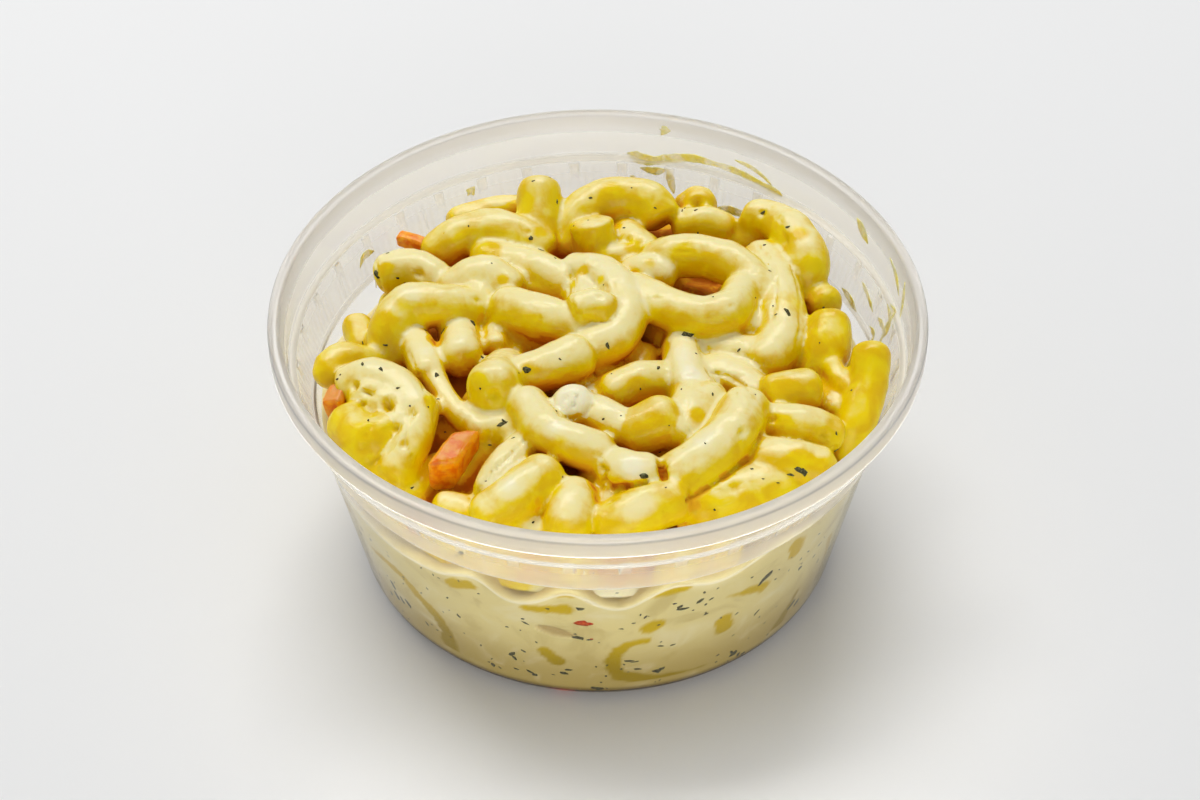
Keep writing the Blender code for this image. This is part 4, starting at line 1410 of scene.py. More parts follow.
# Pasta that touches the wall: its line of (angle in degrees, height), and half its width in mm
# where the line begins and where it ends
WALL_PASTA = [
    ([(-120.2, 28.7), (-115.8, 30.9)], 1.3, 1.3),
    ([(-125.5, 33.6), (-117.0, 35.4)], 0.9, 0.9),
    ([(-97.1, 34.1), (-93.9, 34.8)], 1.1, 1.1),
    ([(-104.6, 28.0), (-100.5, 28.7), (-96.4, 29.4)], 0.9, 1.5),
    ([(-100.9, 14.6), (-98.7, 11.6)], 1.4, 1.4),
    ([(-78.2, 32.9), (-73.6, 34.0)], 1.1, 1.5),
    ([(-62.8, 26.5), (-58.5, 25.6), (-54.6, 24.5)], 0.5, 1.6),
    ([(-79.6, 22.2), (-78.0, 23.6)], 1.4, 1.5),
    ([(-62.4, 16.3), (-62.8, 18.9)], 1.8, 1.8),
    ([(-47.2, 29.6), (-47.6, 32.4)], 1.5, 1.7),
    ([(-79.8, 18.3), (-83.4, 17.7), (-86.0, 15.0), (-87.0, 11.3), (-85.1, 7.4)], 0.9, 1.7),
    ([(-85.1, 7.4), (-79.5, 5.4), (-71.2, 4.2), (-64.8, 3.9), (-59.6, 3.9)], 1.8, 0.8),
    ([(-145.5, 20.5), (-139.7, 21.3), (-135.0, 20.4), (-131.3, 17.5), (-127.6, 14.2),
      (-125.6, 10.6), (-125.4, 5.7)], 0.8, 1.8),
    ([(-46.2, 3.0), (-44.0, 5.5), (-42.0, 9.5), (-40.5, 13.0)], 1.9, 0.6),
    ([(-31.0, 8.0), (-30.3, 14.2), (-32.3, 22.7)], 0.4, 0.8),
    ([(-20.0, 24.0), (-10.0, 27.0), (0.0, 25.0)], 1.8, 0.9),
    ([(-14.0, 9.0), (-4.0, 6.5), (5.0, 8.5)], 0.8, 1.8),
    ([(12.0, 17.0), (18.0, 21.0), (20.0, 26.5)], 1.5, 1.9),
    ([(31.0, 10.0), (38.0, 7.0), (45.0, 9.0), (49.0, 14.0)], 1.8, 0.9),
    ([(38.0, 28.0), (47.0, 30.0)], 0.8, 1.8),
    ([(60.0, 22.0), (66.0, 26.5), (74.0, 27.5)], 1.4, 1.8),
    ([(70.0, 10.0), (78.0, 12.0)], 2.1, 1.0),
    ([(92.0, 19.0), (97.0, 14.0), (105.0, 11.5), (112.0, 13.5)], 0.8, 1.9),
    ([(100.0, 28.0), (107.0, 29.0)], 1.3, 1.5),
    ([(124.0, 24.0), (131.0, 27.0), (139.0, 25.5)], 1.7, 0.8),
    ([(128.0, 8.0), (136.0, 5.5), (144.0, 7.5)], 0.7, 1.7),
    ([(152.0, 17.0), (155.0, 12.0)], 1.7, 2.1),
    ([(168.0, 26.0), (176.0, 27.5), (184.0, 25.0)], 1.7, 0.8),
    ([(172.0, 9.0), (181.0, 12.5), (190.0, 11.0)], 0.8, 1.9),
    ([(202.0, 22.0), (206.0, 26.0)], 1.3, 1.5),
]

# Pockets of air against the wall, painted with shade: (angle in degrees, height), half width, half
# height, lean
WALL_AIR = [((-98.8, 21.6), 3.5, 1.3, -18.0), ((-88.4, 32.9), 3.6, 1.9, 0.0),
            ((20.0, 30.0), 3.0, 1.2, 15.0), ((85.0, 31.5), 4.0, 1.5, -8.0),
            ((143.0, 16.0), 3.2, 1.0, 24.0), ((-12.0, 17.0), 2.6, 1.0, -30.0)]

# Radii at which the two are measured along the wall, and the spacing of points on a line, in mm
STROKE_RADIUS = 47.0
AIR_RADIUS = 48.0
STROKE_SPACING = 1.2


@dataclass
class WallDressing:
    """The salad below its top, as it lies against the wall and the floor of the tub."""

    rows: int = 64
    steps: int = 540
    reach: float = 0.06
    floor: float = 0.62
    top: float = 36.0
    still_below: float = 5.0
    merge: float = 0.002
    line_steps: int = 721
    soften_reach: int = 8
    soften_width: float = 3.2
    wobble: float = 0.5
    wobble_size: float = 3.0
    air_depth: float = 0.55
    finish: WallDressingFinish = field(default_factory=WallDressingFinish)
    piece: bpy.types.Object | None = None

    def build(self) -> bpy.types.Object:
        """Build the body.

        Returns:
            The closed piece.
        """
        top = self.top
        profile = [(0.0, self.floor), (20.0, self.floor), (36.0, self.floor),
                   (41.5, self.floor), (42.6, self.floor + 0.06), (43.4, 1.25), (44.2, 2.1)]
        profile += [(at_height(height) + self.reach, height)
                    for height in np.linspace(2.9, top, self.rows)]
        profile += [(at_height(top) - 0.15, top + 0.22), (at_height(top) - 0.7, top + 0.35),
                    (at_height(top) - 1.9, top + 0.1), (at_height(top) - 4.0, top - 0.8),
                    (at_height(top) - 9.0, top - 2.5), (20.0, 31.0), (0.0, 31.0)]
        form = turned(profile, self.steps, self.merge)
        bmesh.ops.recalc_face_normals(form, faces=form.faces)
        self.piece = new_piece("wall_dressing", as_mesh(form, "wall_dressing"))
        self.shape_and_paint()
        return self.piece

    def edge_heights(self, angle: np.ndarray) -> np.ndarray:
        """Give the height at which the dressing ends on the wall.

        Args:
            angle: Angles round the axis, in degrees.

        Returns:
            The heights there, in mm.
        """
        line = np.array(CONTACT_LINE)
        fine = np.linspace(-180.0, 180.0, self.line_steps)
        level = np.interp(fine, line[:, 0], line[:, 1])
        near = np.arange(-self.soften_reach, self.soften_reach + 1)
        soft = np.exp(-0.5 * (near / self.soften_width) ** 2)
        level = np.convolve(np.pad(level, self.soften_reach, mode="wrap"), soft / soft.sum(),
                            mode="valid")
        return np.interp(angle, fine, level)

    def shape_and_paint(self) -> None:
        """Bring the top edge to the line on the wall, press in the air, mark the pasta, and paint
        shade.
        """
        mesh = self.piece.data
        places, _ = mesh_arrays(mesh)
        angle = np.degrees(np.arctan2(places[:, 1], places[:, 0]))
        reach = np.hypot(places[:, 0], places[:, 1])
        edge = self.edge_heights(angle)
        still = self.still_below
        raised = places[:, 2] > still
        share = np.where(raised, (places[:, 2] - still) / (self.top - still), 0.0)
        height = np.where(raised, still + (edge - still) * share, places[:, 2])
        was, now = wall_radii(places[:, 2]), wall_radii(height)
        outer = soft_step(reach, 30.0, 42.0)
        scale = np.where(raised, 1.0 + outer * ((reach + now - was) / np.maximum(reach, 1.0)
                                                - 1.0), 1.0)
        radius = reach * scale
        skin = (np.abs(radius - now - self.reach) < 0.03) & raised
        pasta, shaded_air = np.zeros(len(places)), np.zeros(len(places))
        wobble = np.array([noise.fractal(Vector(place) / self.wobble_size, 0.6, 2.0, 3)
                           for place in places])
        for points, first, last in WALL_PASTA:
            beyond = stroke_distance(angle, height, points, first, last) + self.wobble * wobble
            pasta = np.maximum(pasta, 1.0 - soft_step(beyond, -0.4, 0.35))
        # Pockets of air: pressed into the wall, and marked for painted shade
        for (turn, level), wide, tall, lean in WALL_AIR:
            across = np.radians((angle - turn + 180.0) % 360.0 - 180.0) * AIR_RADIUS
            up = height - level
            lean = math.radians(lean)
            along = (across * math.cos(lean) + up * math.sin(lean)) / wide
            off = (-across * math.sin(lean) + up * math.cos(lean)) / tall
            shaded_air = np.maximum(shaded_air, 1.0 - soft_step(np.hypot(along, off), 0.82, 1.08))
        shaded_air *= skin
        radius = radius - shaded_air * self.air_depth
        turn = np.radians(angle)
        set_places(mesh, np.column_stack((radius * np.cos(turn), radius * np.sin(turn), height)))
        near_edge = 1.0 - soft_step(np.abs(height - edge + 0.35), 0.15, 0.6)
        inward = now - radius
        # Painted shade in the recess behind the top edge, seen through the wall
        shaded_air = np.maximum(shaded_air, 0.5 * soft_step(inward, 0.3, 1.4) * (height > edge - 4.0))
        set_values(mesh, "pasta", pasta * skin)
        set_values(mesh, "shaded_air", shaded_air)
        set_values(mesh, "edge", np.where(raised, near_edge, 0.0) * skin)
        # Painted shade, growing towards the bottom of the wall
        set_values(mesh, "low", 1.0 - soft_step(height, 1.0, 26.0))
        # Painted shade in the corner at the foot of the wall
        set_values(mesh, "foot_shade", 0.85 * (1.0 - soft_step(height, 2.0, 3.8)) * (reach > 40.0))

    def dress(self) -> None:
        """Give the body its finish."""
        dress(self.piece, self.finish.make(), ("macaroni_salad",))


def stroke_distance(angle: np.ndarray, height: np.ndarray, points: list, first_half: float,
                    last_half: float) -> np.ndarray:
    """Measure how far places on the wall are beyond the edge of a stroke drawn on it.

    Args:
        angle: Angles of the places, in degrees.
        height: Heights of the places, in mm.
        points: The stroke's middle line, as (angle in degrees, height).
        first_half: Half the stroke's width where it begins, in mm.
        last_half: Half the stroke's width where it ends, in mm.

    Returns:
        The distances in mm, below 0 inside the stroke.
    """
    middle = points[len(points) // 2][0]
    across = np.radians((angle - middle + 180.0) % 360.0 - 180.0) * STROKE_RADIUS
    nearest = np.full(len(angle), 1e3)
    route = smooth_route([Vector((math.radians(turn - middle) * STROKE_RADIUS, level, 0.0))
                          for turn, level in points], STROKE_SPACING)
    pieces = len(route) - 1
    for number, (start, end) in enumerate(zip(route, route[1:])):
        run = end - start
        share = ((across - start[0]) * run[0] + (height - start[1]) * run[1]) / run.length_squared
        share = np.clip(share, 0.0, 1.0)
        half = first_half + (last_half - first_half) * (number + share) / pieces
        nearest = np.minimum(nearest, np.hypot(across - start[0] - share * run[0],
                                               height - start[1] - share * run[1]) - half)
    return nearest


@dataclass
class ClearTub:
    """The moulded tub: rolled lip, ledge, ribbed band with lugs, and tapered wall."""

    lugs: int = 36
    steps_per_lug: int = 24
    rib_depth: float = 0.22
    lug_depth: float = 0.35
    lug_half_width: float = 0.95
    lug_low: float = 41.05
    lug_high: float = 44.65
    rib_low: float = 37.55
    rib_pattern: tuple = (0.0, 0.6, 1.0, 0.6)
    merge: float = 0.002
    finish: PlasticFinish = field(default_factory=PlasticFinish)
    piece: bpy.types.Object | None = None

    def profile(self) -> list[tuple[float, float]]:
        """Give the section of the wall, down the outside and up the inside.

        Returns:
            (radius, height) of its points in mm; the last joins the first.
        """
        inner_rim = RIM_RADIUS - LIP_WIDTH
        outside = [(inner_rim + 0.45, HEIGHT), (RIM_RADIUS - 0.7, HEIGHT),
                   (RIM_RADIUS - 0.3, HEIGHT - 0.1), (RIM_RADIUS - 0.08, HEIGHT - 0.35),
                   (RIM_RADIUS, HEIGHT - 0.75), (RIM_RADIUS, LIP_BOTTOM + 0.3),
                   (RIM_RADIUS - 0.12, LIP_BOTTOM + 0.06), (RIM_RADIUS - 0.35, LIP_BOTTOM),
                   (RIM_RADIUS - 0.6, LIP_BOTTOM + 0.1), (RIM_RADIUS - WALL, LIP_BOTTOM + 0.35),
                   (RIM_RADIUS - 0.78, HEIGHT - 1.3), (RIM_RADIUS - 0.95, HEIGHT - 0.95),
                   (inner_rim + 0.9, HEIGHT - 0.9), (inner_rim + 0.72, HEIGHT - 1.15),
                   (56.1, LEDGE_HEIGHT + 1.1), (55.95, LEDGE_HEIGHT + 0.6),
                   (55.5, LEDGE_HEIGHT + 0.15), (54.95, LEDGE_HEIGHT - 0.1),
                   (54.75, LEDGE_HEIGHT - 0.5), (52.55, STEP_HEIGHT + 0.2),
                   (52.35, STEP_HEIGHT - 0.1), (51.95, STEP_HEIGHT - 0.35),
                   (51.8, STEP_HEIGHT - 0.8), (45.3, 3.1), (44.9, 1.9), (44.2, 0.9),
                   (43.2, 0.2), (42.4, 0.0), (40.8, 0.0), (40.3, 0.25), (0.0, 0.25)]
        inside = [(0.0, WALL), (42.0, WALL), (42.8, 0.85), (43.5, 1.35), (44.2, 2.1),
                  (44.7, 2.9), (at_height(12.0), 12.0), (at_height(24.0), 24.0),
                  (at_height(STEP_HEIGHT - 0.9), STEP_HEIGHT - 0.9),
                  (51.32, STEP_HEIGHT - 0.45), (51.5, STEP_HEIGHT - 0.15),
                  (51.75, STEP_HEIGHT + 0.05)]
        band = [37.4, 37.7, 39.4, self.lug_low - 0.15, self.lug_low, self.lug_high,
                self.lug_high + 0.15]
        inside += [(at_height(height), height) for height in band]
        inside += [(54.15, LEDGE_HEIGHT + 0.02), (54.6, LEDGE_HEIGHT + 0.2),
                   (55.05, LEDGE_HEIGHT + 0.45), (55.3, LEDGE_HEIGHT + 1.0),
                   (inner_rim, HEIGHT - 0.5), (inner_rim + 0.15, HEIGHT - 0.15)]
        return [*outside, *inside]

    def build(self) -> bpy.types.Object:
        """Build the tub.

        Returns:
            The closed piece.
        """
        form = turned(self.profile(), self.lugs * self.steps_per_lug, self.merge, closed=True)
        bmesh.ops.recalc_face_normals(form, faces=form.faces)
        thick = self.press_ribs_and_lugs(form)
        mesh = as_mesh(form, "clear_tub")
        self.piece = new_piece("clear_tub", mesh)
        places, _ = mesh_arrays(mesh)
        for low, high in ((STEP_HEIGHT - 0.5, STEP_HEIGHT + 0.3),
                          (LEDGE_HEIGHT - 0.15, LEDGE_HEIGHT + 0.5)):
            thick[(places[:, 2] > low) & (places[:, 2] < high)] = 1.0
        set_values(mesh, "thick", thick)
        reach = np.hypot(places[:, 0], places[:, 1])
        # Marks the lip's outer top corner for the painted dark line of shade
        corner = (reach > RIM_RADIUS - 0.2) & (places[:, 2] > HEIGHT - 0.5)
        set_values(mesh, "corner", corner.astype(float))
        return self.piece

    def press_ribs_and_lugs(self, form: bmesh.types.BMesh) -> np.ndarray:
        """Move the inner face of the band in: one rib to four steps, and each lug.

        Args:
            form: The tub's mesh, turned about +Z from the +X side.

        Returns:
            How far each vertex went in, as a share of a lug's depth.
        """
        steps = self.lugs * self.steps_per_lug
        thick = np.zeros(len(form.verts))
        for number, corner in enumerate(form.verts):
            height = corner.co.z / MM
            if not self.rib_low < height < LEDGE_HEIGHT - 0.2:
                continue
            reach = math.hypot(corner.co.x, corner.co.y) / MM
            if abs(reach - at_height(height)) > 0.02:
                continue
            turn = math.atan2(corner.co.y, corner.co.x) / math.tau * steps
            strength = 0.55 + 0.75 * noise.noise(Vector((turn / 9.0, 0.0, 0.0)))
            fade = min(1.0, max(0.0, (LEDGE_HEIGHT - 0.6 - height) / 3.0))
            inward = self.rib_depth * self.rib_pattern[round(turn) % len(self.rib_pattern)]
            inward *= max(0.15, strength) * fade
            step = (turn / self.steps_per_lug) % 1.0 - 0.5
            across = abs(step) * self.steps_per_lug / steps * math.tau * reach
            if across < self.lug_half_width and self.lug_low <= height <= self.lug_high:
                inward = self.lug_depth
            thick[number] = inward / self.lug_depth
            share = (reach - inward) / reach
            corner.co.x *= share
            corner.co.y *= share
        return thick

    def dress(self) -> None:
        """Give the tub its finish."""
        dress(self.piece, self.finish.make(), ("tub",))
        self.piece.data.set_sharp_from_angle(angle=math.radians(40.0))


@dataclass
class CarrotDice:
    """One dice of carrot with worn corners and a film of dressing."""

    node: str
    size: tuple
    middle: tuple
    turns: tuple
    back_share: float
    shift: float
    film_from: float
    seed: float
    worn: float = 1.05
    lump: float = 0.16
    lump_size: float = 2.6
    sunk: float = 0.1
    piece: bpy.types.Object | None = None

    def build(self) -> bpy.types.Object:
        """Build the dice.

        Returns:
            The closed piece.
        """
        form = bmesh.new()
        bmesh.ops.create_cube(form, size=1.0)
        bmesh.ops.scale(form, verts=form.verts, vec=[side * MM for side in self.size])
        for corner in form.verts:
            if corner.co.y > 0.0:
                right = self.size[0] * MM / 2
                corner.co.x = right - (right - corner.co.x) * self.back_share + self.shift * MM
        bmesh.ops.bevel(form, geom=form.edges, offset=self.worn * MM, offset_type="OFFSET",
                        segments=3, profile=0.5, affect="EDGES", material=-1)
        bmesh.ops.triangulate(form, faces=form.faces)
        bmesh.ops.subdivide_edges(form, edges=form.edges, cuts=2, use_grid_fill=True)
        bmesh.ops.subdivide_edges(form, edges=form.edges, cuts=1, use_grid_fill=True)
        smooth_out(form, 3)
        drift = Vector((self.seed, 0.0, 0.0))
        form.normal_update()
        for corner in form.verts:
            lump = noise.fractal(corner.co / (self.lump_size * MM) + drift, 0.6, 2.0, 4)
            corner.co += corner.normal * (lump * self.lump - self.sunk) * MM
        place = Matrix.Translation(Vector(self.middle) * MM)
        turn = Euler([math.radians(angle) for angle in self.turns]).to_matrix().to_4x4()
        bmesh.ops.transform(form, matrix=place @ turn, verts=form.verts)
        bmesh.ops.recalc_face_normals(form, faces=form.faces)
        mesh = as_mesh(form, self.node)
        self.piece = new_piece(self.node.replace("carrot_", "diced_carrot_"), mesh)
        places, normals = mesh_arrays(mesh)
        film = normals[:, 2] * 0.8 + (places[:, 2] - self.film_from) * 0.12
        set_values(mesh, "film", np.clip(film, 0.0, 1.0))
        return self.piece

    def dress(self, finish: bpy.types.Material) -> None:
        """Give the dice its finish."""
        dress(self.piece, finish, (self.node,))


# Node, size, middle and turns, then the back's share of the width, its shift, the height from
# which the film thickens, and what sets its lumps apart
CARROTS = [
    CarrotDice("carrot_cube_front", (5.6, 7.4, 8.6), (-27.2, -24.9, 40.0), (8.0, 0.0, 4.0),
               0.92, 4.4, 43.0, 1.0),
    CarrotDice("carrot_piece_left", (4.0, 5.0, 8.4), (-46.2, -10.6, 39.2), (4.0, -10.0, -14.0),
               0.90, 0.0, 40.0, 5.0),
    CarrotDice("carrot_strip_back", (7.6, 3.0, 3.0), (-34.8, 32.6, 41.9), (0.0, 4.0, -22.0),
               1.0, 0.0, 46.0, 9.0),
]


class Speck(Enum):
    """Kinds of speck in the dressing."""

    HERB = "herb_flakes"
    PEPPER = "pepper_specks"
    RED = "red_bits"


SPECK_FINISH = {
    Speck.HERB: SpeckFinish("herb", (0.042, 0.042, 0.014), (0.17, 0.165, 0.07)),
    Speck.PEPPER: SpeckFinish("black_pepper", (0.012, 0.009, 0.006), (0.07, 0.05, 0.03)),
    Speck.RED: SpeckFinish("red_pepper", (0.60, 0.030, 0.004), (0.86, 0.15, 0.010)),
}

# Herb and pepper on the heap, where they are seen: across, down, length in mm, lean in degrees
TOP_SPECKS = [
    (533, 181, 0.9, 10), (557, 202, 1.2, 80), (531, 238, 1.3, 70), (541, 250, 1.4, 140),
    (590, 198, 0.8, 0), (608, 346, 1.5, 110), (696, 210, 0.7, 20), (698, 233, 0.7, 90),
    (762, 213, 1.4, 40), (788, 227, 1.0, 0), (764, 245, 0.8, 30), (770, 271, 0.8, 160),
    (787, 312, 2.2, 115), (739, 350, 0.9, 60), (688, 334, 2.3, 10), (385, 345, 1.0, 0),
    (388, 253, 0.9, 0), (377, 275, 1.8, 120), (398, 278, 0.6, 0), (405, 283, 0.6, 0),
    (443, 331, 1.3, 20), (381, 369, 1.5, 120), (437, 375, 1.5, 100), (398, 388, 0.8, 0),
    (337, 379, 0.6, 0), (314, 382, 0.7, 0), (438, 399, 0.7, 0), (428, 407, 0.5, 0),
    (410, 406, 0.5, 0), (483, 358, 1.1, 150), (527, 370, 1.8, 170), (502, 424, 2.0, 20),
    (504, 421, 1.4, 130), (490, 445, 0.8, 0), (513, 438, 0.8, 0), (643, 476, 1.7, 165),
    (658, 368, 1.0, 60), (752, 469, 0.9, 0), (800, 470, 2.4, 150), (804, 472, 1.8, 120),
    (791, 475, 1.4, 170), (763, 479, 0.7, 0), (778, 483, 0.7, 0), (836, 450, 0.9, 0),
    (473, 323, 1.6, 150), (603, 419, 0.6, 0), (445, 432, 0.5, 0), (660, 452, 0.5, 0),
]

# Herb and pepper against the near wall, in the same way
WALL_SPECKS = [
    (364, 527, 0.9, 30), (373, 538, 0.9, 120), (395, 583, 1.9, 125), (399, 594, 2.0, 130),
    (404, 598, 1.8, 125), (410, 602, 1.6, 130), (394, 592, 1.2, 100), (429, 622, 0.9, 130),
    (460, 614, 0.9, 110), (494, 663, 1.1, 90), (513, 652, 1.6, 60), (515, 656, 1.2, 120),
    (517, 667, 0.9, 0), (524, 649, 0.9, 160), (531, 670, 1.5, 160), (536, 673, 1.2, 10),
    (526, 621, 1.2, 150), (523, 617, 0.8, 30), (563, 671, 1.4, 160), (569, 668, 1.2, 10),
    (580, 607, 1.3, 170), (578, 636, 1.6, 170), (590, 638, 1.1, 20), (596, 686, 1.6, 170),
    (600, 687, 1.2, 30), (628, 659, 1.6, 170), (634, 660, 1.3, 10), (637, 667, 1.2, 160),
    (657, 669, 1.8, 160), (661, 667, 1.3, 20), (682, 607, 1.8, 170), (679, 605, 1.2, 30),
    (645, 615, 0.8, 60), (699, 599, 1.4, 45), (710, 597, 0.9, 30), (672, 643, 0.9, 10),
    (660, 644, 0.9, 160), (705, 612, 0.8, 20), (735, 612, 1.0, 30), (755, 611, 1.2, 45),
    (764, 576, 2.2, 40), (760, 580, 1.6, 60), (768, 572, 1.7, 35), (798, 566, 1.2, 60),
    (790, 602, 2.0, 35), (794, 601, 1.8, 60), (787, 606, 1.6, 25), (817, 543, 0.7, 0),
    (815, 560, 1.0, 60), (812, 554, 0.8, 30), (733, 651, 1.8, 40), (730, 650, 1.4, 120),
    (737, 652, 1.2, 60), (741, 652, 1.0, 60), (717, 653, 0.8, 20), (724, 667, 1.2, 30),
    (462, 550, 1.3, 60), (458, 553, 0.8, 20), (621, 627, 0.8, 170), (617, 591, 0.6, 0),
    (674, 602, 0.6, 0), (538, 551, 1.1, 60),
]

# How much larger a flake is made than it is seen, because its edges are thin
FLAKE_SCALE = 1.2

# Scraps of red pepper against the near wall, in the same way
RED_SPECKS = [(581, 621, 2.4, 165), (587, 622, 1.6, 10), (562, 686, 4.2, 175),
              (570, 688, 3.0, 10), (592, 637, 0.7, 0)]


@dataclass
class Specks:
    """Herb, pepper and red bits: small bent flakes half sunk in the dressing."""

    heap: bpy.types.Object
    seed: int = 21
    scattered_top: int = 60
    scattered_wall: int = 260
    top_radius: float = 47.0
    top_above: float = 60.0
    top_lowest: float = 33.0
    wall_heights: tuple = (1.8, 31.0)
    wall_slope: float = 0.19
    wall_scale: float = 1.25
    pepper_below: float = 0.9

    def build(self) -> dict[Speck, bpy.types.Object]:
        """Build one piece for each kind.

        Returns:
            The pieces, by kind.
        """
        chance = random.Random(self.seed)
        skin = skin_tree(self.heap.data)
        flakes: dict[Speck, list[bpy.types.Mesh]] = {kind: [] for kind in Speck}
        for u, v, length, lean in TOP_SPECKS:
            place, normal, _, _ = skin.ray_cast(EYE * MM, sight(u, v))
            if place is not None:
                kind = Speck.PEPPER if length < 0.75 else Speck.HERB
                flakes[kind].append(self.flake(place / MM, normal, length, lean, chance, 0.04))
        for _ in range(self.scattered_top):
            reach = self.top_radius * math.sqrt(chance.random())
            turn = chance.uniform(0.0, math.tau)
            above = Vector((reach * math.cos(turn), reach * math.sin(turn), self.top_above)) * MM
            place, normal, _, _ = skin.ray_cast(above, Vector((0.0, 0.0, -1.0)))
            length = chance.choice((0.35, 0.45, 0.5, 0.6, 0.8))
            if place is not None and place.z > self.top_lowest * MM:
                kind = Speck.PEPPER if length < 0.55 else Speck.HERB
                flakes[kind].append(self.flake(place / MM, normal, length,
                                               chance.uniform(0.0, 180.0), chance, 0.02))
        for table, known_kind in ((WALL_SPECKS, None), (RED_SPECKS, Speck.RED)):
            for u, v, length, lean in table:
                turn, height = wall_place(u, v, False)
                small = length < self.pepper_below
                kind = known_kind or (Speck.PEPPER if small else Speck.HERB)
                flakes[kind].append(self.wall_flake(turn, height, length, lean, chance))
        for _ in range(self.scattered_wall):
            turn = math.radians(chance.uniform(-180.0, 180.0))
            height = chance.uniform(*self.wall_heights)
            front = -150.0 < math.degrees(turn) < -30.0
            length = chance.choice((0.3, 0.4, 0.5, 0.6) if front
                                   else (0.4, 0.5, 0.7, 0.9, 1.2, 1.6))
            kind = Speck.PEPPER if length < 0.5 else Speck.HERB
            if not front and chance.random() < 0.05:
                kind = Speck.RED
            flakes[kind].append(self.wall_flake(turn, height, length,
                                                chance.uniform(0.0, 180.0), chance))
        pieces = {}
        for kind, meshes in flakes.items():
            pieces[kind] = new_piece(kind.value, join_meshes(kind.value, meshes))
            dress(pieces[kind], SPECK_FINISH[kind].make())
        return pieces

    def wall_flake(self, turn: float, height: float, length: float, lean: float,
                   chance: random.Random) -> bpy.types.Mesh:
        """Make a flake that lies against the inside of the wall.

        Args:
            turn: Angle round the axis, in radians.
            height: Its height, in mm.
            length: Its length, in mm.
            lean: Its lean on the wall, in degrees.
            chance: Where its random shape comes from.

        Returns:
            The flake.
        """
        out = Vector((math.cos(turn), math.sin(turn), 0.0))
        place = out * (at_height(height) + 0.06)
        place.z = height
        facing = (out - Vector((0.0, 0.0, self.wall_slope))).normalized()
        return self.flake(place, facing, length * self.wall_scale, lean, chance, 0.03)

    @staticmethod
    def flake(place: Vector, normal: Vector, length: float, lean: float,
              chance: random.Random, lift: float) -> bpy.types.Mesh:
        """Make one flake.

        Args:
            place: Its middle, in mm.
            normal: The way it faces.
            length: Its length, in mm.
            lean: Its lean, in degrees, as seen by the camera.
            chance: Where its random shape comes from.
            lift: How far it stands out, in mm.

        Returns:
            The flake's closed mesh.
        """
        length *= FLAKE_SCALE
        width = length * chance.uniform(0.3, 0.65) if length > 0.8 else length * 0.7
        form = bmesh.new()
        bmesh.ops.create_icosphere(form, subdivisions=1, radius=0.5)
        for corner in form.verts:
            corner.co *= chance.uniform(0.45, 1.2)
        bmesh.ops.scale(form, verts=form.verts, vec=(length * MM, width * MM, 0.2 * MM))
        right = Vector((1.0, 0.0, 0.0))
        across = (right - normal * right.dot(normal)).normalized()
        turn = Matrix((across, normal.cross(across), normal)).transposed().to_4x4()
        spin = Matrix.Rotation(math.radians(lean), 4, "Z")
        move = Matrix.Translation((place + normal * lift) * MM)
        bmesh.ops.transform(form, matrix=move @ turn @ spin, verts=form.verts)
        return as_mesh(form, "flake")


# Smears on the far inner wall, where they are seen: (across, down, half width in mm) along each
SMEARS = [
    [(662, 126, 0.5), (665, 130, 0.9), (661, 135, 0.4)],
    [(627, 153, 0.7), (640, 158, 1.1), (660, 160, 0.8), (690, 158, 0.9), (712, 163, 0.5),
     (738, 172, 0.7), (762, 184, 0.5), (782, 196, 0.8)],
    [(735, 160, 0.3), (752, 168, 0.4), (766, 179, 0.3), (772, 186, 0.3)],
    [(640, 168, 0.5), (655, 171, 0.7), (668, 170, 0.4)],
    [(668, 170, 0.5), (671, 182, 0.7), (674, 194, 0.4)],
    [(630, 176, 0.4), (636, 178, 0.5)],
    [(716, 208, 0.4), (730, 210, 0.8), (748, 216, 0.7), (762, 224, 0.5)],
    [(857, 218, 0.5), (862, 229, 1.1), (868, 244, 0.5)],
    [(842, 288, 0.4), (850, 299, 0.9), (856, 312, 0.4)],
    [(862, 282, 0.3), (866, 290, 0.6), (873, 312, 0.4)],
    [(887, 304, 0.3), (890, 320, 0.8), (883, 338, 0.5)],
    [(870, 326, 0.3), (874, 334, 0.7), (870, 342, 0.3)],
    [(890, 258, 0.3), (896, 276, 0.6), (899, 296, 0.3)],
    [(905, 282, 0.3), (903, 300, 0.6), (900, 318, 0.3)],
    [(878, 318, 0.6), (884, 330, 0.5), (879, 345, 0.6)],
    [(884, 330, 0.4), (892, 316, 0.5), (890, 304, 0.3)],
    [(352, 330, 0.3), (358, 322, 0.9), (364, 334, 0.9), (372, 345, 0.5)],
    [(347, 345, 0.3), (350, 336, 0.6)],
    [(360, 268, 0.3), (364, 256, 0.6), (374, 251, 0.4)],
    [(376, 262, 0.3), (377, 275, 0.4), (376, 288, 0.3)],
    [(466, 190, 0.3), (471, 191, 0.9), (474, 195, 0.4)],
]


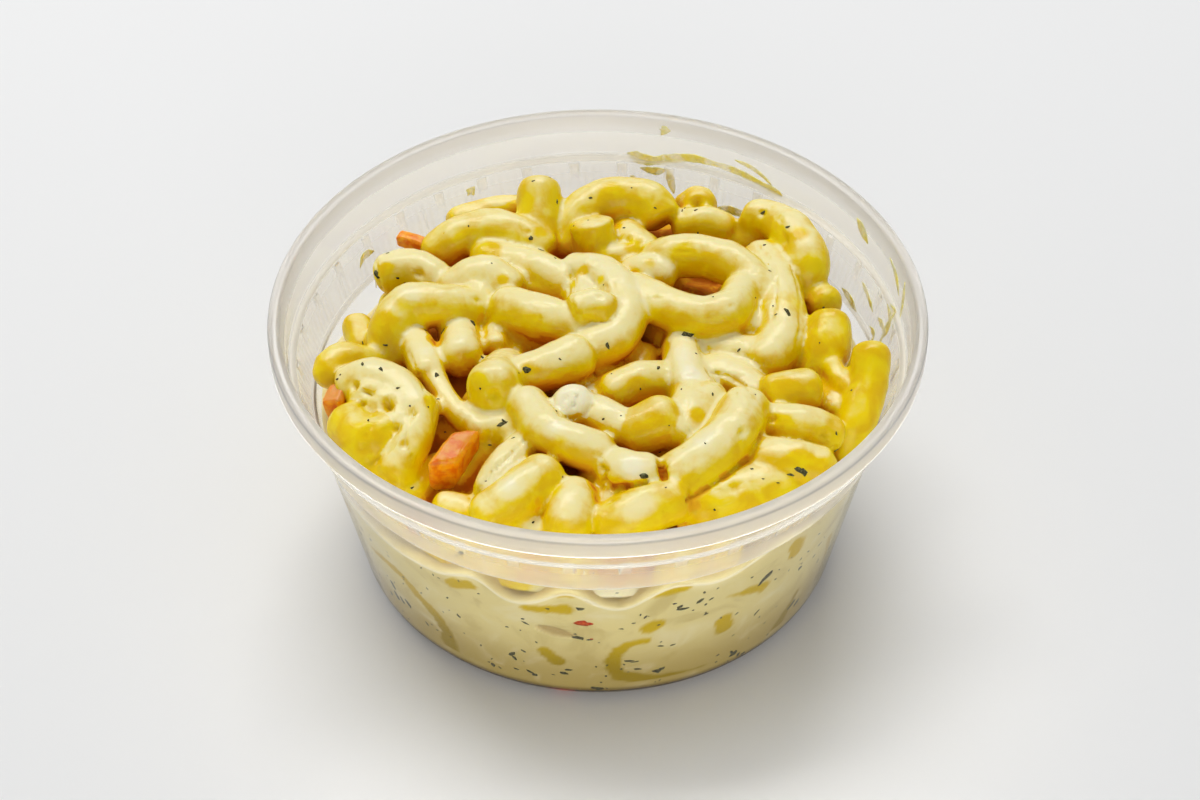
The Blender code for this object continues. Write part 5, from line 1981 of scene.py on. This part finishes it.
@dataclass
class WallSmears:
    """Thin smears and drips of dressing on the inside of the wall above the salad."""

    thickness: float = 0.16
    wall_radius: float = 54.0
    spacing: float = 0.8
    widen: float = 1.25
    finish: SmearFinish = field(default_factory=SmearFinish)
    piece: bpy.types.Object | None = None

    def build(self) -> bpy.types.Object:
        """Build all smears as one piece.

        Returns:
            The piece.
        """
        strokes = [sweep(self.stations([(*wall_place(u, v, True), half)
                                        for u, v, half in smear]), 12) for smear in SMEARS]
        self.piece = new_piece("dressing_smears", join_meshes("dressing_smears", strokes))
        return self.piece

    def stations(self, points: list[tuple[float, float, float]]) -> list[Matrix]:
        """Place the flat rings of one smear along the wall.

        Args:
            points: (angle in radians, height in mm, half width in mm) along it.

        Returns:
            A matrix for each ring.
        """
        knots = [Vector((turn * self.wall_radius, height, half)) for turn, height, half in points]
        route = smooth_route(knots, self.spacing)
        stations = []
        count = len(route)
        for number, knot in enumerate(route):
            before, after = route[max(0, number - 1)], route[min(count - 1, number + 1)]
            turn, height = knot.x / self.wall_radius, knot.y
            out = Vector((math.cos(turn), math.sin(turn), 0.0))
            round_way = Vector((-out.y, out.x, 0.0))
            run = Vector((after.x - before.x, after.y - before.y))
            along = (round_way * run.x + Vector((0, 0, 1)) * run.y).normalized()
            across = along.cross(out).normalized()
            uneven = 1.0 + 0.35 * noise.noise(Vector((knot.x, knot.y, 0.0)) / 1.7)
            taper = min(1.0, (number + 0.4) / 2.0, (count - number - 0.6) / 2.0)
            half = max(0.08, knot.z * self.widen * uneven * taper)
            place = out * (at_height(height) - 0.02)
            place.z = height
            turned = Matrix((across, along.cross(across), along)).transposed().to_4x4()
            size = Matrix.Diagonal((half * MM, self.thickness * (0.4 + 0.6 * taper) * MM, MM, 1))
            stations.append(Matrix.Translation(place * MM) @ turned @ size)
        return stations

    def dress(self) -> None:
        """Give the smears their finish."""
        dress(self.piece, self.finish.make())


@dataclass
class Studio:
    """Floor, lights and camera."""

    floor_half: float = 2.0
    key_place: tuple = (-0.18, 0.66, 1.10)
    key_size: tuple = (1.2, 0.4)
    key_power: float = 11.4
    fill_place: tuple = (0.08, -1.15, 0.34)
    fill_size: tuple = (0.7, 0.7)
    fill_power: float = 3.5
    lamp_colour: tuple = (1.0, 0.99, 0.97)
    sky_colour: tuple = (0.96, 0.975, 1.0)
    sky: float = 0.375

    def build(self) -> None:
        """Build the studio round the part."""
        form = bmesh.new()
        bmesh.ops.create_grid(form, x_segments=2, y_segments=2, size=self.floor_half)
        floor = new_piece("floor", as_mesh(form, "floor"))
        floor.data.materials.append(FloorFinish().make())
        self.light("key", self.key_place, self.key_size, self.key_power)
        self.light("fill", self.fill_place, self.fill_size, self.fill_power)
        world = bpy.data.worlds.new("studio")
        world.use_nodes = True
        shade = world.node_tree.nodes["Background"]
        shade.inputs["Color"].default_value = (*self.sky_colour, 1.0)
        shade.inputs["Strength"].default_value = self.sky
        scene = bpy.context.scene
        scene.world = world
        scene.view_settings.view_transform = "Standard"
        data = bpy.data.cameras.new("camera")
        data.lens = LENS
        data.sensor_width = SENSOR
        data.clip_start = 0.01
        camera = bpy.data.objects.new("camera", data)
        camera.location = EYE * MM
        camera.rotation_euler = (math.radians(90.0 - TILT_DEGREES), 0.0, 0.0)
        scene.collection.objects.link(camera)
        scene.camera = camera

    def light(self, name: str, place: tuple, size: tuple, power: float) -> None:
        """Add a soft light that faces the part.

        Args:
            name: Its name.
            place: Its place, in metres.
            size: Its width and depth, in metres.
            power: Its power, in watts.
        """
        data = bpy.data.lights.new(name, "AREA")
        data.energy = power
        data.shape = "RECTANGLE"
        data.size, data.size_y = size
        data.color = self.lamp_colour
        lamp = bpy.data.objects.new(name, data)
        lamp.location = place
        way = Vector((0.0, 0.0, 0.03)) - Vector(place)
        lamp.rotation_euler = way.to_track_quat("-Z", "Y").to_euler()
        bpy.context.scene.collection.objects.link(lamp)


def main() -> None:
    """Build the looks, piece by piece."""
    tub = ClearTub()
    tub.build()
    tub.dress()
    body = WallDressing()
    body.build()
    body.dress()
    heap = MacaroniHeap()
    heap.build()
    heap.dress()
    finish = CarrotFinish().make()
    for dice in CARROTS:
        dice.build()
        dice.dress(finish)
    Specks(heap.piece).build()
    smears = WallSmears()
    smears.build()
    smears.dress()
    Studio().build()


if __name__ == "__main__":
    main()
